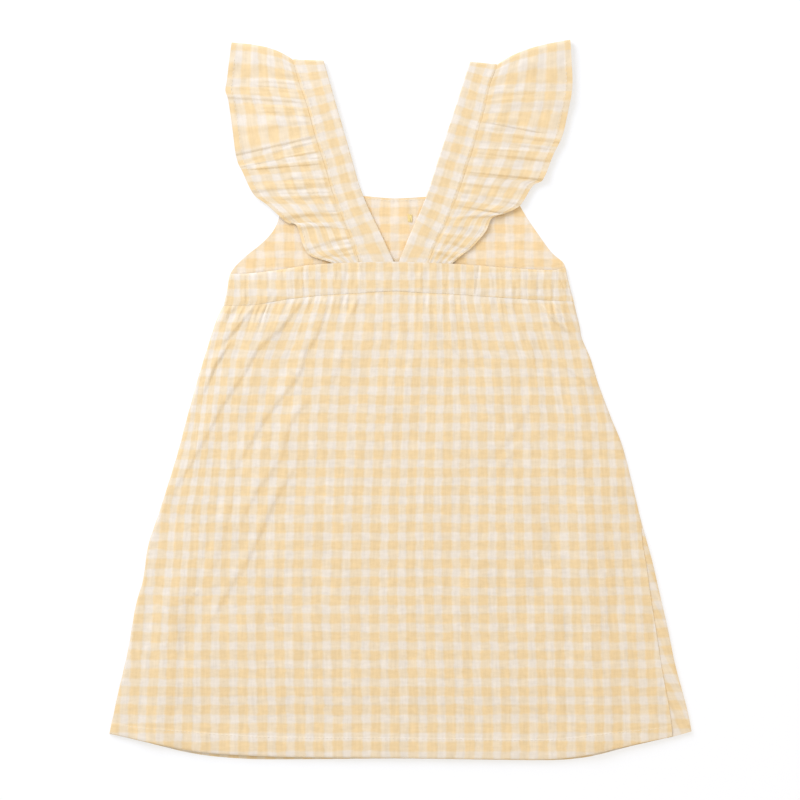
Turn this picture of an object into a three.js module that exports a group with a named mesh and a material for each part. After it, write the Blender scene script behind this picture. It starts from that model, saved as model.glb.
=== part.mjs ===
// A child's sundress of gingham seersucker with ruffled straps, laid flat on its front, back up.
// Millimetres, +Z up. Tables measure x from the centre line and up from the lowest point of the hem.

import * as THREE from 'three';

const { clamp, lerp, smoothstep, degToRad } = THREE.MathUtils;

// Driving sizes
const LENGTH = 518.5; // lowest point of the hem to the top of the ruffles
const CLOTH = 1; // one layer of cloth
const STRAP_CLOTH = 1.5; // a strap is cloth turned double
const SEAM_GAP = 0.3; // between neighbouring pieces
const WRAP_RADIUS = 0.8; // middle of the cloth where the front skirt turns up at a side seam
const SIDE_INSET = CLOTH / 2 + WRAP_RADIUS; // from the outline to the middle of that turn
const FRONT_SPACES = 12; // spaces across the flat of both front panels
const BAND_REST = CLOTH + SEAM_GAP; // underside of the waistband, on the front bodice
const BAND_THICK = 2.1; // casing with its elastic
const BAND_END_THICK = 1.3; // at the side seams
const HEM_DEPTH = 13;
const RUCHES = 33; // ridges that would fill the whole waistband
const SKIRT_LENGTH = 307.5; // waist seam to hem, down the side seams
const FLAT_MIDDLE = 0.486; // middle of the part of the waistband that isn't ruched, as a share
const FLAT_HALF = 0.075;
const RUCHE_RISE = 0.9; // height of the waistband's ridges
const GATHER = { rise: 1.1, length: 26 }; // skirt gathers under the waistband, and how far down they fade
const AIR = { rise: 1.1, fromSide: 22, fromWaist: 18 }; // how the back skirt stands off the front
const HEM_RISE = 0.4; // the hem is turned up double
const ROOT_GATHER = { rise: 0.45, pitch: 7 }; // small gathers along a ruffle's seam
const FRONT_WAVE = { rise: 1.1, pitch: 15 }; // waves of a ruffle's hidden front stretch
const CROWN = { rise: 3.8, length: 14 }; // how the fold over the shoulder bows up between its two ends

// Outline of the skirt, on its sides and along the hem
const LEFT_SIDE = [
  { up: 19.4, x: -209.5 },
  { up: 44.6, x: -204 },
  { up: 77.8, x: -196.3 },
  { up: 111.6, x: -190.3 },
  { up: 129.6, x: -185.3 },
  { up: 154, x: -181.5 },
  { up: 177, x: -174 },
  { up: 216.7, x: -161.5 },
  { up: 259.2, x: -150 },
  { up: 298, x: -138.5 },
  { up: 319, x: -131.3 },
  { up: 327.4, x: -127 },
];
const RIGHT_SIDE = [
  { up: 21.2, x: 209.5 },
  { up: 35.3, x: 206.7 },
  { up: 69, x: 197.7 },
  { up: 93.6, x: 192.7 },
  { up: 118, x: 187 },
  { up: 143.3, x: 181.2 },
  { up: 172, x: 173.3 },
  { up: 193, x: 168.2 },
  { up: 226.8, x: 159.6 },
  { up: 246.2, x: 151.7 },
  { up: 271.4, x: 142.3 },
  { up: 289.8, x: 136.5 },
  { up: 303.5, x: 130.6 },
  { up: 311, x: 129.3 },
  { up: 330, x: 124.7 },
];
const HEM = [
  { x: -209.5, up: 19.4, peek: 0.3 },
  { x: -184, up: 13.7, peek: 0.6 },
  { x: -149, up: 6.6, peek: 1.8 },
  { x: -113, up: 3.7, peek: 2.6 },
  { x: -72, up: 2.3, peek: 1.6 },
  { x: 0, up: 1.8, peek: 0.6 },
  { x: 75, up: 0.8, peek: 0.6 },
  { x: 100, up: 0.7, peek: 0.7 },
  { x: 117, up: 1.5, peek: 1.2 },
  { x: 137, up: 4.3, peek: 1.6 },
  { x: 165, up: 10.8, peek: 1.0 },
  { x: 192, up: 16.6, peek: 0.5 },
  { x: 209.5, up: 21.2, peek: 0.3 },
];

// Rows of points down both skirt panels: how far down each lies, and how many spaces the back has across
const SKIRT_ROWS = [
  { depths: [0, 8], spaces: 132 },
  { depths: [18, 30, 43, 57, 72, 88, 105, 123, 142, 162], spaces: 56 },
  { depths: [186, 212, 238, 264, SKIRT_LENGTH - HEM_DEPTH - 4], spaces: 28 },
  { depths: [SKIRT_LENGTH - HEM_DEPTH + 1, SKIRT_LENGTH], spaces: 28 },
];

// How far the front skirt shows on the right, from the outline to the side seam
const RIGHT_WRAP = [
  { up: 19, width: 13.2 },
  { up: 71, width: 9 },
  { up: 105, width: 7 },
  { up: 157, width: 2.6 },
  { up: 190, width: 0.5 },
  { up: 335, width: 0.4 },
];
const LEFT_WRAP = 0.4;

// The waistband's two long edges
const BAND_TOP = [
  { x: -122, up: 350 },
  { x: -107.5, up: 350.4 },
  { x: -85, up: 353.2 },
  { x: -66.5, up: 356.2 },
  { x: -47, up: 357.5 },
  { x: -27.5, up: 358.2 },
  { x: -4.5, up: 358.6 },
  { x: 38, up: 357.1 },
  { x: 56, up: 356.1 },
  { x: 79, up: 354.2 },
  { x: 110, up: 352.8 },
  { x: 118.5, up: 354.6 },
];
const BAND_BOTTOM = [
  { x: -127, up: 327.2 },
  { x: -105.5, up: 327.6 },
  { x: -93, up: 329.6 },
  { x: -80, up: 331.8 },
  { x: -66.5, up: 333.4 },
  { x: -52, up: 334.8 },
  { x: -32, up: 335.9 },
  { x: -4.5, up: 337.4 },
  { x: 15, up: 336.3 },
  { x: 34.5, up: 335.5 },
  { x: 54.5, up: 334.1 },
  { x: 74.5, up: 332.7 },
  { x: 98.5, up: 331.2 },
  { x: 124.7, up: 330.1 },
];

// The front bodice: its neckline, and each side from the waist up through the armhole
const NECKLINE = [
  { x: -84, up: 405.8 },
  { x: -55, up: 406.2 },
  { x: -27.5, up: 406 },
  { x: -4.5, up: 404.3 },
  { x: 18.5, up: 405.4 },
  { x: 50, up: 406 },
  { x: 84, up: 405.6 },
];
const LEFT_ARMHOLE = [
  { up: 327.2, x: -127 },
  { up: 339, x: -124.4 },
  { up: 351, x: -121.8 },
  { up: 361.4, x: -112.6 },
  { up: 370.8, x: -101 },
  { up: 378.7, x: -93.1 },
  { up: 385.6, x: -89 },
  { up: 393, x: -86.8 },
  { up: 405.8, x: -84 },
];
const RIGHT_ARMHOLE = [
  { up: 330.1, x: 124.7 },
  { up: 343, x: 121.3 },
  { up: 355, x: 118.6 },
  { up: 358.6, x: 116.6 },
  { up: 365, x: 109.2 },
  { up: 378.7, x: 99 },
  { up: 390.2, x: 91.2 },
  { up: 398.9, x: 86.2 },
  { up: 405.6, x: 84 },
];

// Each strap's back stretch, from the shoulder down: the seam to the ruffle, the inner edge,
// and how high the middle of the strap lies
const LEFT_STRAP_BACK = [
  { seamX: -77.3, seamUp: 503.3, innerX: -55, innerUp: 502.6, lift: 3.2 },
  { seamX: -72.3, seamUp: 486, innerX: -51.2, innerUp: 489.5, lift: 3.7 },
  { seamX: -67.2, seamUp: 471.6, innerX: -47.7, innerUp: 477, lift: 3.9 },
  { seamX: -60.7, seamUp: 447.8, innerX: -40.9, innerUp: 453.5, lift: 3.7 },
  { seamX: -54.3, seamUp: 428.4, innerX: -35.3, innerUp: 434, lift: 3 },
  { seamX: -48.5, seamUp: 408.2, innerX: -29.3, innerUp: 413, lift: 2.3 },
  { seamX: -41.3, seamUp: 389.5, innerX: -22.6, innerUp: 396.5, lift: 2.15 },
  { seamX: -35.5, seamUp: 375.8, innerX: -15.2, innerUp: 381.5, lift: 2.15 },
  { seamX: -29.5, seamUp: 358.7, innerX: -4.6, innerUp: 359.1, lift: 2.1 },
];
const RIGHT_STRAP_BACK = [
  { seamX: 69.6, seamUp: 499.7, innerX: 50.1, innerUp: 501.8, lift: 3.2 },
  { seamX: 64.5, seamUp: 486, innerX: 46.7, innerUp: 491.4, lift: 3.7 },
  { seamX: 59.5, seamUp: 464.4, innerX: 39.9, innerUp: 470.4, lift: 3.9 },
  { seamX: 51.6, seamUp: 437.8, innerX: 31.1, innerUp: 443.4, lift: 3.4 },
  { seamX: 46.5, seamUp: 422.6, innerX: 26.2, innerUp: 428.4, lift: 2.8 },
  { seamX: 40.8, seamUp: 405.4, innerX: 20.8, innerUp: 411.6, lift: 2.3 },
  { seamX: 34.3, seamUp: 388.8, innerX: 15.3, innerUp: 397.3, lift: 2.15 },
  { seamX: 27.1, seamUp: 374.4, innerX: 9, innerUp: 383, lift: 2.15 },
  { seamX: 19.9, seamUp: 358.5, innerX: -1, innerUp: 359, lift: 2.1 },
];

// Each ruffle's back stretch, from the shoulder down: the seam, the free edge,
// and how high the free edge lies between its waves
const LEFT_RUFFLE_BACK = [
  { seamX: -77.3, seamUp: 503.3, edgeX: -121.2, edgeUp: 516, rest: 4.4 },
  { seamX: -75, seamUp: 495, edgeX: -122.8, edgeUp: 503, rest: 4.4 },
  { seamX: -72.3, seamUp: 486, edgeX: -124.5, edgeUp: 489, rest: 4.2 },
  { seamX: -69.5, seamUp: 478, edgeX: -125.6, edgeUp: 481.5, rest: 4 },
  { seamX: -67.2, seamUp: 471.6, edgeX: -123.8, edgeUp: 475.5, rest: 3.6 },
  { seamX: -63.4, seamUp: 457.2, edgeX: -121, edgeUp: 457, rest: 3.4 },
  { seamX: -60.7, seamUp: 447.8, edgeX: -118, edgeUp: 434.5, rest: 3.3 },
  { seamX: -54.3, seamUp: 428.4, edgeX: -113.3, edgeUp: 423, rest: 3.2 },
  { seamX: -48.5, seamUp: 408.2, edgeX: -105, edgeUp: 406.5, rest: 3.1 },
  { seamX: -44.9, seamUp: 399, edgeX: -96, edgeUp: 399.6, rest: 3 },
  { seamX: -41.3, seamUp: 389.5, edgeX: -82, edgeUp: 387.2, rest: 2.6 },
  { seamX: -38.2, seamUp: 382, edgeX: -74.6, edgeUp: 384.6, rest: 2.3 },
  { seamX: -35.5, seamUp: 375.8, edgeX: -70.2, edgeUp: 371, rest: 2.1 },
  { seamX: -32.7, seamUp: 368.2, edgeX: -64.5, edgeUp: 363, rest: 2 },
  { seamX: -29.9, seamUp: 358.7, edgeX: -50, edgeUp: 358.1, rest: 2 },
];
const RIGHT_RUFFLE_BACK = [
  { seamX: 69.6, seamUp: 499.7, edgeX: 122.1, edgeUp: 518, rest: 4.6 },
  { seamX: 67, seamUp: 492.5, edgeX: 122.9, edgeUp: 503, rest: 4.6 },
  { seamX: 64.5, seamUp: 486, edgeX: 123.6, edgeUp: 489, rest: 4.4 },
  { seamX: 61.8, seamUp: 474.5, edgeX: 122.8, edgeUp: 478, rest: 4 },
  { seamX: 59.5, seamUp: 464.4, edgeX: 120.2, edgeUp: 465, rest: 3.7 },
  { seamX: 57.3, seamUp: 457.4, edgeX: 117, edgeUp: 450.7, rest: 3.5 },
  { seamX: 51.6, seamUp: 437.8, edgeX: 109.5, edgeUp: 434.5, rest: 3.3 },
  { seamX: 46.5, seamUp: 422.6, edgeX: 102, edgeUp: 417, rest: 3.3 },
  { seamX: 45.1, seamUp: 418, edgeX: 95.6, edgeUp: 413.5, rest: 3.2 },
  { seamX: 40.8, seamUp: 405.4, edgeX: 86, edgeUp: 399, rest: 3 },
  { seamX: 37.3, seamUp: 396.4, edgeX: 76, edgeUp: 393.6, rest: 2.7 },
  { seamX: 34.3, seamUp: 388.8, edgeX: 66, edgeUp: 390, rest: 2.4 },
  { seamX: 31, seamUp: 382, edgeX: 61.5, edgeUp: 380.5, rest: 2.2 },
  { seamX: 27.1, seamUp: 374.4, edgeX: 52, edgeUp: 369.4, rest: 2.1 },
  { seamX: 23.5, seamUp: 366, edgeX: 45, edgeUp: 364, rest: 2 },
  { seamX: 20.3, seamUp: 358.5, edgeX: 37.5, edgeUp: 357.5, rest: 2 },
];

// The hidden front stretch of each ruffle and strap, from the shoulder down to the neckline
const LEFT_FRONT = [
  { seamX: -77.3, seamUp: 503.3, edgeX: -121.2, edgeUp: 516, innerX: -55 },
  { seamX: -79, seamUp: 480, edgeX: -120.5, edgeUp: 484, innerX: -57.8 },
  { seamX: -80.6, seamUp: 460, edgeX: -117, edgeUp: 460, innerX: -60 },
  { seamX: -82, seamUp: 440, edgeX: -112, edgeUp: 440, innerX: -61.5 },
  { seamX: -83.2, seamUp: 422, edgeX: -102, edgeUp: 424, innerX: -62.7 },
  { seamX: -84, seamUp: 406.8, edgeX: -91, edgeUp: 408.5, innerX: -63.5 },
];
const RIGHT_FRONT = [
  { seamX: 69.6, seamUp: 499.7, edgeX: 122.1, edgeUp: 518, innerX: 50.1 },
  { seamX: 73.5, seamUp: 480, edgeX: 119.5, edgeUp: 484, innerX: 53.8 },
  { seamX: 76.5, seamUp: 460, edgeX: 114.5, edgeUp: 460, innerX: 56.5 },
  { seamX: 79.5, seamUp: 440, edgeX: 106.5, edgeUp: 441, innerX: 59.2 },
  { seamX: 82, seamUp: 422, edgeX: 97.5, edgeUp: 424, innerX: 61.6 },
  { seamX: 84, seamUp: 406.8, edgeX: 89.5, edgeUp: 408.5, innerX: 63.5 },
];

// Pressed folds of the ruffles: where each starts, in millimetres down the seam from the shoulder,
// where it ends at the free edge, its height, and how far it runs out uphill and downhill of its crest
const LEFT_RUFFLE_FOLDS = [
  { seam: 12, edge: 10, rise: 1.2, above: 7, below: 6 },
  { seam: 31, edge: 31, rise: 2.2, above: 9, below: 3.5 },
  { seam: 46, edge: 46, rise: 1.5, above: 7, below: 5 },
  { seam: 57, edge: 57, rise: 3.4, above: 8, below: 2.6 },
  { seam: 77, edge: 77, rise: 2.8, above: 9, below: 2.6 },
  { seam: 91, edge: 94, rise: 1.3, above: 6, below: 5 },
  { seam: 105, edge: 110, rise: 1.4, above: 7, below: 5 },
  { seam: 119, edge: 125, rise: 2.2, above: 7, below: 3 },
  { seam: 134, edge: 136, rise: 1.9, above: 6, below: 3 },
  { seam: 144, edge: 146, rise: 0.9, above: 4, below: 3 },
];
const RIGHT_RUFFLE_FOLDS = [
  { seam: 9, edge: 6, rise: 1.5, above: 5, below: 4 },
  { seam: 24, edge: 24, rise: 1.6, above: 8, below: 6 },
  { seam: 42, edge: 46, rise: 2.4, above: 9, below: 3 },
  { seam: 53, edge: 57, rise: 1.3, above: 6, below: 5 },
  { seam: 66, edge: 68, rise: 2, above: 7, below: 4 },
  { seam: 80, edge: 80, rise: 3.6, above: 8, below: 2.6 },
  { seam: 92, edge: 95, rise: 1.2, above: 5, below: 4 },
  { seam: 104, edge: 108, rise: 2, above: 7, below: 3.5 },
  { seam: 117, edge: 122, rise: 1.2, above: 5, below: 5 },
  { seam: 130, edge: 134, rise: 1.3, above: 6, below: 4 },
  { seam: 141, edge: 144, rise: 0.8, above: 4, below: 3 },
];

// Long folds of the back skirt: the crest from its upper to its lower end, its sideways bow,
// its height, and how far it runs out to its left and to its right
const SKIRT_FOLDS = [
  { x: -103, up: 328, endX: -140, endUp: 262, bow: -3, rise: 2.4, left: 9, right: 4 },
  { x: -95, up: 305, endX: -175, endUp: 168, bow: -4, rise: 2.6, left: 14, right: 5 },
  { x: -55, up: 328, endX: -118, endUp: 212, bow: 2, rise: 2.3, left: 13, right: 6 },
  { x: -70, up: 268, endX: -102, endUp: 206, bow: 0, rise: 1.3, left: 9, right: 7 },
  { x: -30, up: 332, endX: -48, endUp: 286, bow: 0, rise: 1.5, left: 8, right: 6 },
  { x: -122, up: 172, endX: -146, endUp: 92, bow: 0, rise: 1.5, left: 16, right: 12 },
  { x: -152, up: 122, endX: -170, endUp: 28, bow: 0, rise: 1.7, left: 16, right: 12 },
  { x: 15, up: 335, endX: 14, endUp: 296, bow: 0, rise: 1.7, left: 5, right: 4 },
  { x: 36, up: 302, endX: 50, endUp: 284, bow: 0, rise: 1.1, left: 6, right: 6 },
  { x: 68, up: 322, endX: 96, endUp: 270, bow: 2, rise: 1.4, left: 9, right: 6 },
  { x: 100, up: 328, endX: 116, endUp: 306, bow: -2, rise: 1.7, left: 7, right: 4 },
  { x: 109, up: 328, endX: 130, endUp: 296, bow: -2, rise: 1.6, left: 6, right: 4 },
  { x: 112, up: 290, endX: 150, endUp: 226, bow: 3, rise: 1.4, left: 10, right: 8 },
  { x: 92, up: 250, endX: 70, endUp: 222, bow: 0, rise: 1.1, left: 8, right: 8 },
  { x: 150, up: 190, endX: 172, endUp: 60, bow: 0, rise: 1.3, left: 18, right: 16 },
];

// A smooth function through one column of a table, read by another column
function column(rows, key, value) {
  const at = rows.map((row) => row[key]);
  const level = rows.map((row) => row[value]);
  const slope = at.map((_, i) => {
    const before = Math.max(i - 1, 0);
    const after = Math.min(i + 1, at.length - 1);
    return (level[after] - level[before]) / (at[after] - at[before]);
  });
  return (where) => {
    let i = 0;
    while (i < at.length - 2 && where > at[i + 1]) i += 1;
    const span = at[i + 1] - at[i];
    const s = clamp((where - at[i]) / span, 0, 1);
    const rest = 1 - s;
    return level[i] * (1 + 2 * s) * rest * rest + level[i + 1] * (1 + 2 * rest) * s * s
      + span * s * rest * (slope[i] * rest - slope[i + 1] * s);
  };
}

const hemUp = column(HEM, 'x', 'up');
const hemPeek = column(HEM, 'x', 'peek');
const bandTop = column(BAND_TOP, 'x', 'up');
const bandBottom = column(BAND_BOTTOM, 'x', 'up');
const neckline = column(NECKLINE, 'x', 'up');
const leftSide = column(LEFT_SIDE, 'up', 'x');
const rightSide = column(RIGHT_SIDE, 'up', 'x');
const rightWrap = column(RIGHT_WRAP, 'up', 'width');
const leftArmhole = column(LEFT_ARMHOLE, 'up', 'x');
const rightArmhole = column(RIGHT_ARMHOLE, 'up', 'x');

// Points [x, up] of a panel at u across and v down, blended from its four edges
function patch(top, bottom, left, right) {
  return (u, v) => [0, 1].map((axis) => (1 - v) * top(u)[axis] + v * bottom(u)[axis]
    + (1 - u) * left(v)[axis] + u * right(v)[axis]
    - (1 - v) * ((1 - u) * top(0)[axis] + u * top(1)[axis])
    - v * ((1 - u) * bottom(0)[axis] + u * bottom(1)[axis]));
}

// An edge that runs down a side, from one height to another, at v from 0 to 1
function sideEdge(topUp, bottomUp, xAt) {
  return (v) => {
    const up = lerp(topUp, bottomUp, v);
    return [xAt(up), up];
  };
}

// An edge that runs across, from one x to another, at u from 0 to 1
function crossEdge(leftX, rightX, upAt) {
  return (u) => {
    const x = lerp(leftX, rightX, u);
    return [x, upAt(x)];
  };
}

// Where a side meets an edge that runs across: the height at which both pass through the same point
function corner(xAt, upAt, start) {
  let up = start;
  for (let round = 0; round < 8; round += 1) up = upAt(xAt(up));
  return up;
}

const steps = (count) => Array.from({ length: count + 1 }, (_, i) => i / count);

// A closed wall of cloth: rows of points on its outer and inner face, joined all round the rim.
// Rows may hold different numbers of points; "across" says how far along each point is.
function wall(rows) {
  const positions = [];
  const starts = [];
  let total = 0;
  for (const row of rows) {
    starts.push(total);
    total += row.across.length;
  }
  for (const face of ['outer', 'inner']) {
    for (const row of rows) row[face].forEach((point) => positions.push(...point));
  }
  const index = [];
  const tile = (a, b, c) => index.push(a, b, c, a + total, c + total, b + total);
  for (let r = 1; r < rows.length; r += 1) {
    const above = rows[r - 1].across;
    const below = rows[r].across;
    let i = 0;
    let j = 0;
    while (i < above.length - 1 || j < below.length - 1) {
      const a = starts[r - 1] + i;
      const b = starts[r] + j;
      if ((above[i + 1] ?? Infinity) <= (below[j + 1] ?? Infinity)) {
        tile(a, a + 1, b);
        i += 1;
      } else {
        tile(a, b + 1, b);
        j += 1;
      }
    }
  }
  const last = rows.length - 1;
  const rim = [
    ...rows[0].across.map((_, i) => i),
    ...rows.slice(1).map((row, r) => starts[r + 1] + row.across.length - 1),
    ...rows[last].across.slice(1).map((_, i) => starts[last] + rows[last].across.length - 2 - i),
    ...starts.slice(1, last).reverse(),
  ];
  rim.forEach((a, i) => {
    const b = rim[(i + 1) % rim.length];
    index.push(b, a, a + total, b, a + total, b + total);
  });
  const geometry = new THREE.BufferGeometry();
  geometry.setAttribute('position', new THREE.Float32BufferAttribute(positions, 3));
  geometry.setIndex(signedVolume(positions, index) > 0 ? index : index.reverse());
  geometry.computeVertexNormals();
  return geometry;
}

function signedVolume(positions, index) {
  const corner = (i) => new THREE.Vector3().fromArray(positions, 3 * index[i]);
  let volume = 0;
  for (let i = 0; i < index.length; i += 3) {
    volume += corner(i).dot(corner(i + 1).cross(corner(i + 2)));
  }
  return volume;
}

// Height of a soft ridge at a distance from its crest, with one run-out on each side
function ridge(distance, before, after) {
  const reach = distance < 0 ? before : after;
  const share = clamp(Math.abs(distance) / reach, 0, 1);
  return (1 - share * share) ** 2;
}

// Uneven ridges of the ruched waistband and of the gathers below it, 0 to 1, at t across
function ruche(t) {
  const turn = 2 * Math.PI;
  const ridges = RUCHES * t + 0.3 * Math.sin(turn * 3.3 * t) + 0.15 * Math.sin(turn * 7.1 * t + 1);
  const unevenness = 0.75 + 0.25 * Math.sin(turn * 5.3 * t + 2);
  const off = Math.abs(t - FLAT_MIDDLE);
  const ruched = smoothstep(off, FLAT_HALF, FLAT_HALF + 0.02);
  return ruched * unevenness * (0.5 + 0.5 * Math.cos(turn * ridges));
}

function piece(name, geometry, color) {
  const material = new THREE.MeshStandardMaterial({ color, roughness: 0.92, metalness: 0 });
  const mesh = new THREE.Mesh(geometry, material);
  mesh.name = name;
  return mesh;
}

// Front skirt: flat underneath, turned up round both sides to the side seams
function frontSkirt() {
  const leftTop = LEFT_SIDE.at(-1);
  const rightTop = RIGHT_SIDE.at(-1);
  const outline = patch(
    crossEdge(leftTop.x, rightTop.x, (x) => bandBottom(x) - SEAM_GAP),
    crossEdge(HEM[0].x, HEM.at(-1).x, (x) => hemUp(x) - hemPeek(x)),
    sideEdge(bandBottom(leftTop.x) - SEAM_GAP, hemUp(HEM[0].x) - HEM[0].peek, leftSide),
    sideEdge(bandBottom(rightTop.x) - SEAM_GAP, hemUp(HEM.at(-1).x) - HEM.at(-1).peek, rightSide),
  );
  const angles = [-90, -45, 0, 45, 90].map(degToRad);
  const depths = SKIRT_ROWS.flatMap((set) => set.depths);
  const rows = depths.map((depth) => {
    const v = depth / SKIRT_LENGTH;
    const [leftX] = outline(0, v);
    const [rightX] = outline(1, v);
    const upAt = (x) => outline(clamp((x - leftX) / (rightX - leftX), 0, 1), v)[1];
    const row = { across: [], outer: [], inner: [] };
    const put = (outerX, outerZ, innerX, innerZ) => {
      row.across.push(row.across.length);
      row.outer.push([outerX, upAt(outerX), outerZ]);
      row.inner.push([innerX, upAt(innerX), innerZ]);
    };
    const turnUp = (side, angle) => {
      const centre = side < 0 ? leftX + SIDE_INSET : rightX - SIDE_INSET;
      const outer = WRAP_RADIUS + CLOTH / 2;
      const inner = WRAP_RADIUS - CLOTH / 2;
      put(centre + side * outer * Math.cos(angle), outer + outer * Math.sin(angle),
        centre + side * inner * Math.cos(angle), outer + inner * Math.sin(angle));
    };
    const top = 2 * WRAP_RADIUS + CLOTH;
    const seamX = (side) => {
      let x = side < 0 ? leftX : rightX;
      for (let round = 0; round < 4; round += 1) {
        const up = upAt(x);
        x = side < 0 ? leftSide(up) + SIDE_INSET + LEFT_WRAP : rightSide(up) - SIDE_INSET - rightWrap(up);
      }
      return x;
    };
    put(seamX(-1), top, seamX(-1), top - CLOTH);
    [...angles].reverse().forEach((angle) => turnUp(-1, angle));
    steps(FRONT_SPACES).slice(1, -1).forEach((s) => {
      const x = lerp(leftX + SIDE_INSET, rightX - SIDE_INSET, s);
      put(x, 0, x, CLOTH);
    });
    angles.forEach((angle) => turnUp(1, angle));
    [0.5, 1].forEach((s) => {
      const x = lerp(rightX - SIDE_INSET, seamX(1), s);
      put(x, top, x, top - CLOTH);
    });
    return row;
  });
  return wall(rows);
}

// Front bodice: one flat layer from the waist seam up to the neckline
function frontBodice() {
  const outline = patch(
    crossEdge(NECKLINE[0].x, NECKLINE.at(-1).x, neckline),
    crossEdge(BAND_BOTTOM[0].x, BAND_BOTTOM.at(-1).x, bandBottom),
    sideEdge(LEFT_ARMHOLE.at(-1).up, LEFT_ARMHOLE[0].up, leftArmhole),
    sideEdge(RIGHT_ARMHOLE.at(-1).up, RIGHT_ARMHOLE[0].up, rightArmhole),
  );
  const margin = SIDE_INSET / (BAND_BOTTOM.at(-1).x - BAND_BOTTOM[0].x);
  const across = [0, ...steps(FRONT_SPACES).map((s) => lerp(margin, 1 - margin, s)), 1];
  return wall(steps(14).map((v) => ({
    across,
    outer: across.map((u) => [...outline(u, v), 0]),
    inner: across.map((u) => [...outline(u, v), CLOTH]),
  })));
}

// Height of the long folds of the back skirt at a point
function skirtFolds(x, up) {
  let height = 0;
  for (const fold of SKIRT_FOLDS) {
    const alongX = fold.endX - fold.x;
    const alongUp = fold.endUp - fold.up;
    const length = Math.hypot(alongX, alongUp);
    const s = ((x - fold.x) * alongX + (up - fold.up) * alongUp) / (length * length);
    if (s <= 0 || s >= 1) continue;
    const rightward = ((up - fold.up) * alongX - (x - fold.x) * alongUp) / length;
    const bow = fold.bow * Math.sin(Math.PI * s);
    const taper = smoothstep(s, 0, 0.2) * (1 - smoothstep(s, 0.55, 1));
    height = Math.max(height, fold.rise * taper * ridge(rightward - bow, fold.left, fold.right));
  }
  return height;
}

// Back skirt: gathered under the waistband, folds running down and out, hem turned up double
function backSkirt() {
  const leftX = (up) => leftSide(up) + SIDE_INSET + SEAM_GAP + LEFT_WRAP;
  const rightX = (up) => rightSide(up) - SIDE_INSET - SEAM_GAP - rightWrap(up);
  const waist = (x) => bandBottom(x) - SEAM_GAP;
  const topLeft = corner(leftX, waist, BAND_BOTTOM[0].up);
  const topRight = corner(rightX, waist, BAND_BOTTOM.at(-1).up);
  const hemLeft = corner(leftX, hemUp, HEM[0].up);
  const hemRight = corner(rightX, hemUp, HEM.at(-1).up);
  const outline = patch(
    crossEdge(leftX(topLeft), rightX(topRight), waist),
    crossEdge(leftX(hemLeft), rightX(hemRight), hemUp),
    sideEdge(topLeft, hemLeft, leftX),
    sideEdge(topRight, hemRight, rightX),
  );
  const seamLevel = 2 * WRAP_RADIUS + CLOTH / 2;
  const height = (u, v) => {
    const [x, up] = outline(u, v);
    const down = v * SKIRT_LENGTH;
    const inFromSeam = Math.min(x - outline(0, v)[0], outline(1, v)[0] - x);
    const air = AIR.rise * smoothstep(inFromSeam, 0, AIR.fromSide) * smoothstep(down, 0, AIR.fromWaist);
    const gather = GATHER.rise * ruche(u) * Math.exp(-down / GATHER.length) * smoothstep(inFromSeam, 0, 5);
    const folds = skirtFolds(x, up) * smoothstep(inFromSeam, 0, 8) * smoothstep(down, 0, 8);
    const hem = HEM_RISE * smoothstep(down, SKIRT_LENGTH - HEM_DEPTH - 3, SKIRT_LENGTH - HEM_DEPTH);
    return seamLevel + air + folds + gather + hem;
  };
  return wall(SKIRT_ROWS.flatMap(({ depths, spaces }) => depths.map((depth) => {
    const v = depth / SKIRT_LENGTH;
    const across = steps(spaces);
    const row = { across, outer: [], inner: [] };
    across.forEach((u) => {
      const [x, up] = outline(u, v);
      const z = height(u, v);
      const nudge = 0.004;
      const [nextX] = outline(u + nudge, v);
      const tilt = (height(u + nudge, v) - height(u - nudge, v)) / (2 * (nextX - x));
      const half = (CLOTH / 2) * Math.min(Math.hypot(1, tilt), 1.25);
      row.outer.push([x, up, z + half]);
      row.inner.push([x, up, z - Math.min(half, z - CLOTH - SEAM_GAP)]);
    });
    return row;
  })));
}

// Back waistband: elastic casing across the back, ruched on both sides of its flat middle
function backWaistband() {
  const outline = patch(
    crossEdge(BAND_TOP[0].x, BAND_TOP.at(-1).x, bandTop),
    crossEdge(BAND_BOTTOM[0].x, BAND_BOTTOM.at(-1).x, bandBottom),
    sideEdge(BAND_TOP[0].up, BAND_BOTTOM[0].up, leftArmhole),
    sideEdge(BAND_TOP.at(-1).up, BAND_BOTTOM.at(-1).up, rightArmhole),
  );
  const across = steps(4 * RUCHES);
  const profile = [
    { v: 0, full: 0.6 },
    { v: 0.22, full: 1 },
    { v: 0.78, full: 1 },
    { v: 1, full: 0.6 },
  ];
  return wall(profile.map(({ v, full }) => ({
    across,
    outer: across.map((u) => {
      const ends = smoothstep(Math.min(u, 1 - u), 0, 0.06);
      const thick = lerp(BAND_END_THICK, BAND_THICK * full, ends) + RUCHE_RISE * ends * ruche(u);
      return [...outline(u, v), BAND_REST + thick];
    }),
    inner: across.map((u) => [...outline(u, v), BAND_REST]),
  })));
}

// Points down one stretch of a strip, from the shoulder: its root line, its far line and other columns.
// They are read by the distance down the root line.
function stretch(table, farX, farUp) {
  let down = 0;
  const rows = table.map((row, i) => {
    if (i > 0) down += Math.hypot(row.seamX - table[i - 1].seamX, row.seamUp - table[i - 1].seamUp);
    return { ...row, down, farX: row[farX], farUp: row[farUp] };
  });
  const read = (name) => column(rows, 'down', name);
  const line = { rootX: read('seamX'), rootUp: read('seamUp'), farX: read('farX'), farUp: read('farUp') };
  const at = (s, w) => [
    lerp(line.rootX(s), line.farX(s), w),
    lerp(line.rootUp(s), line.farUp(s), w),
  ];
  return { length: down, at, read };
}

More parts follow.
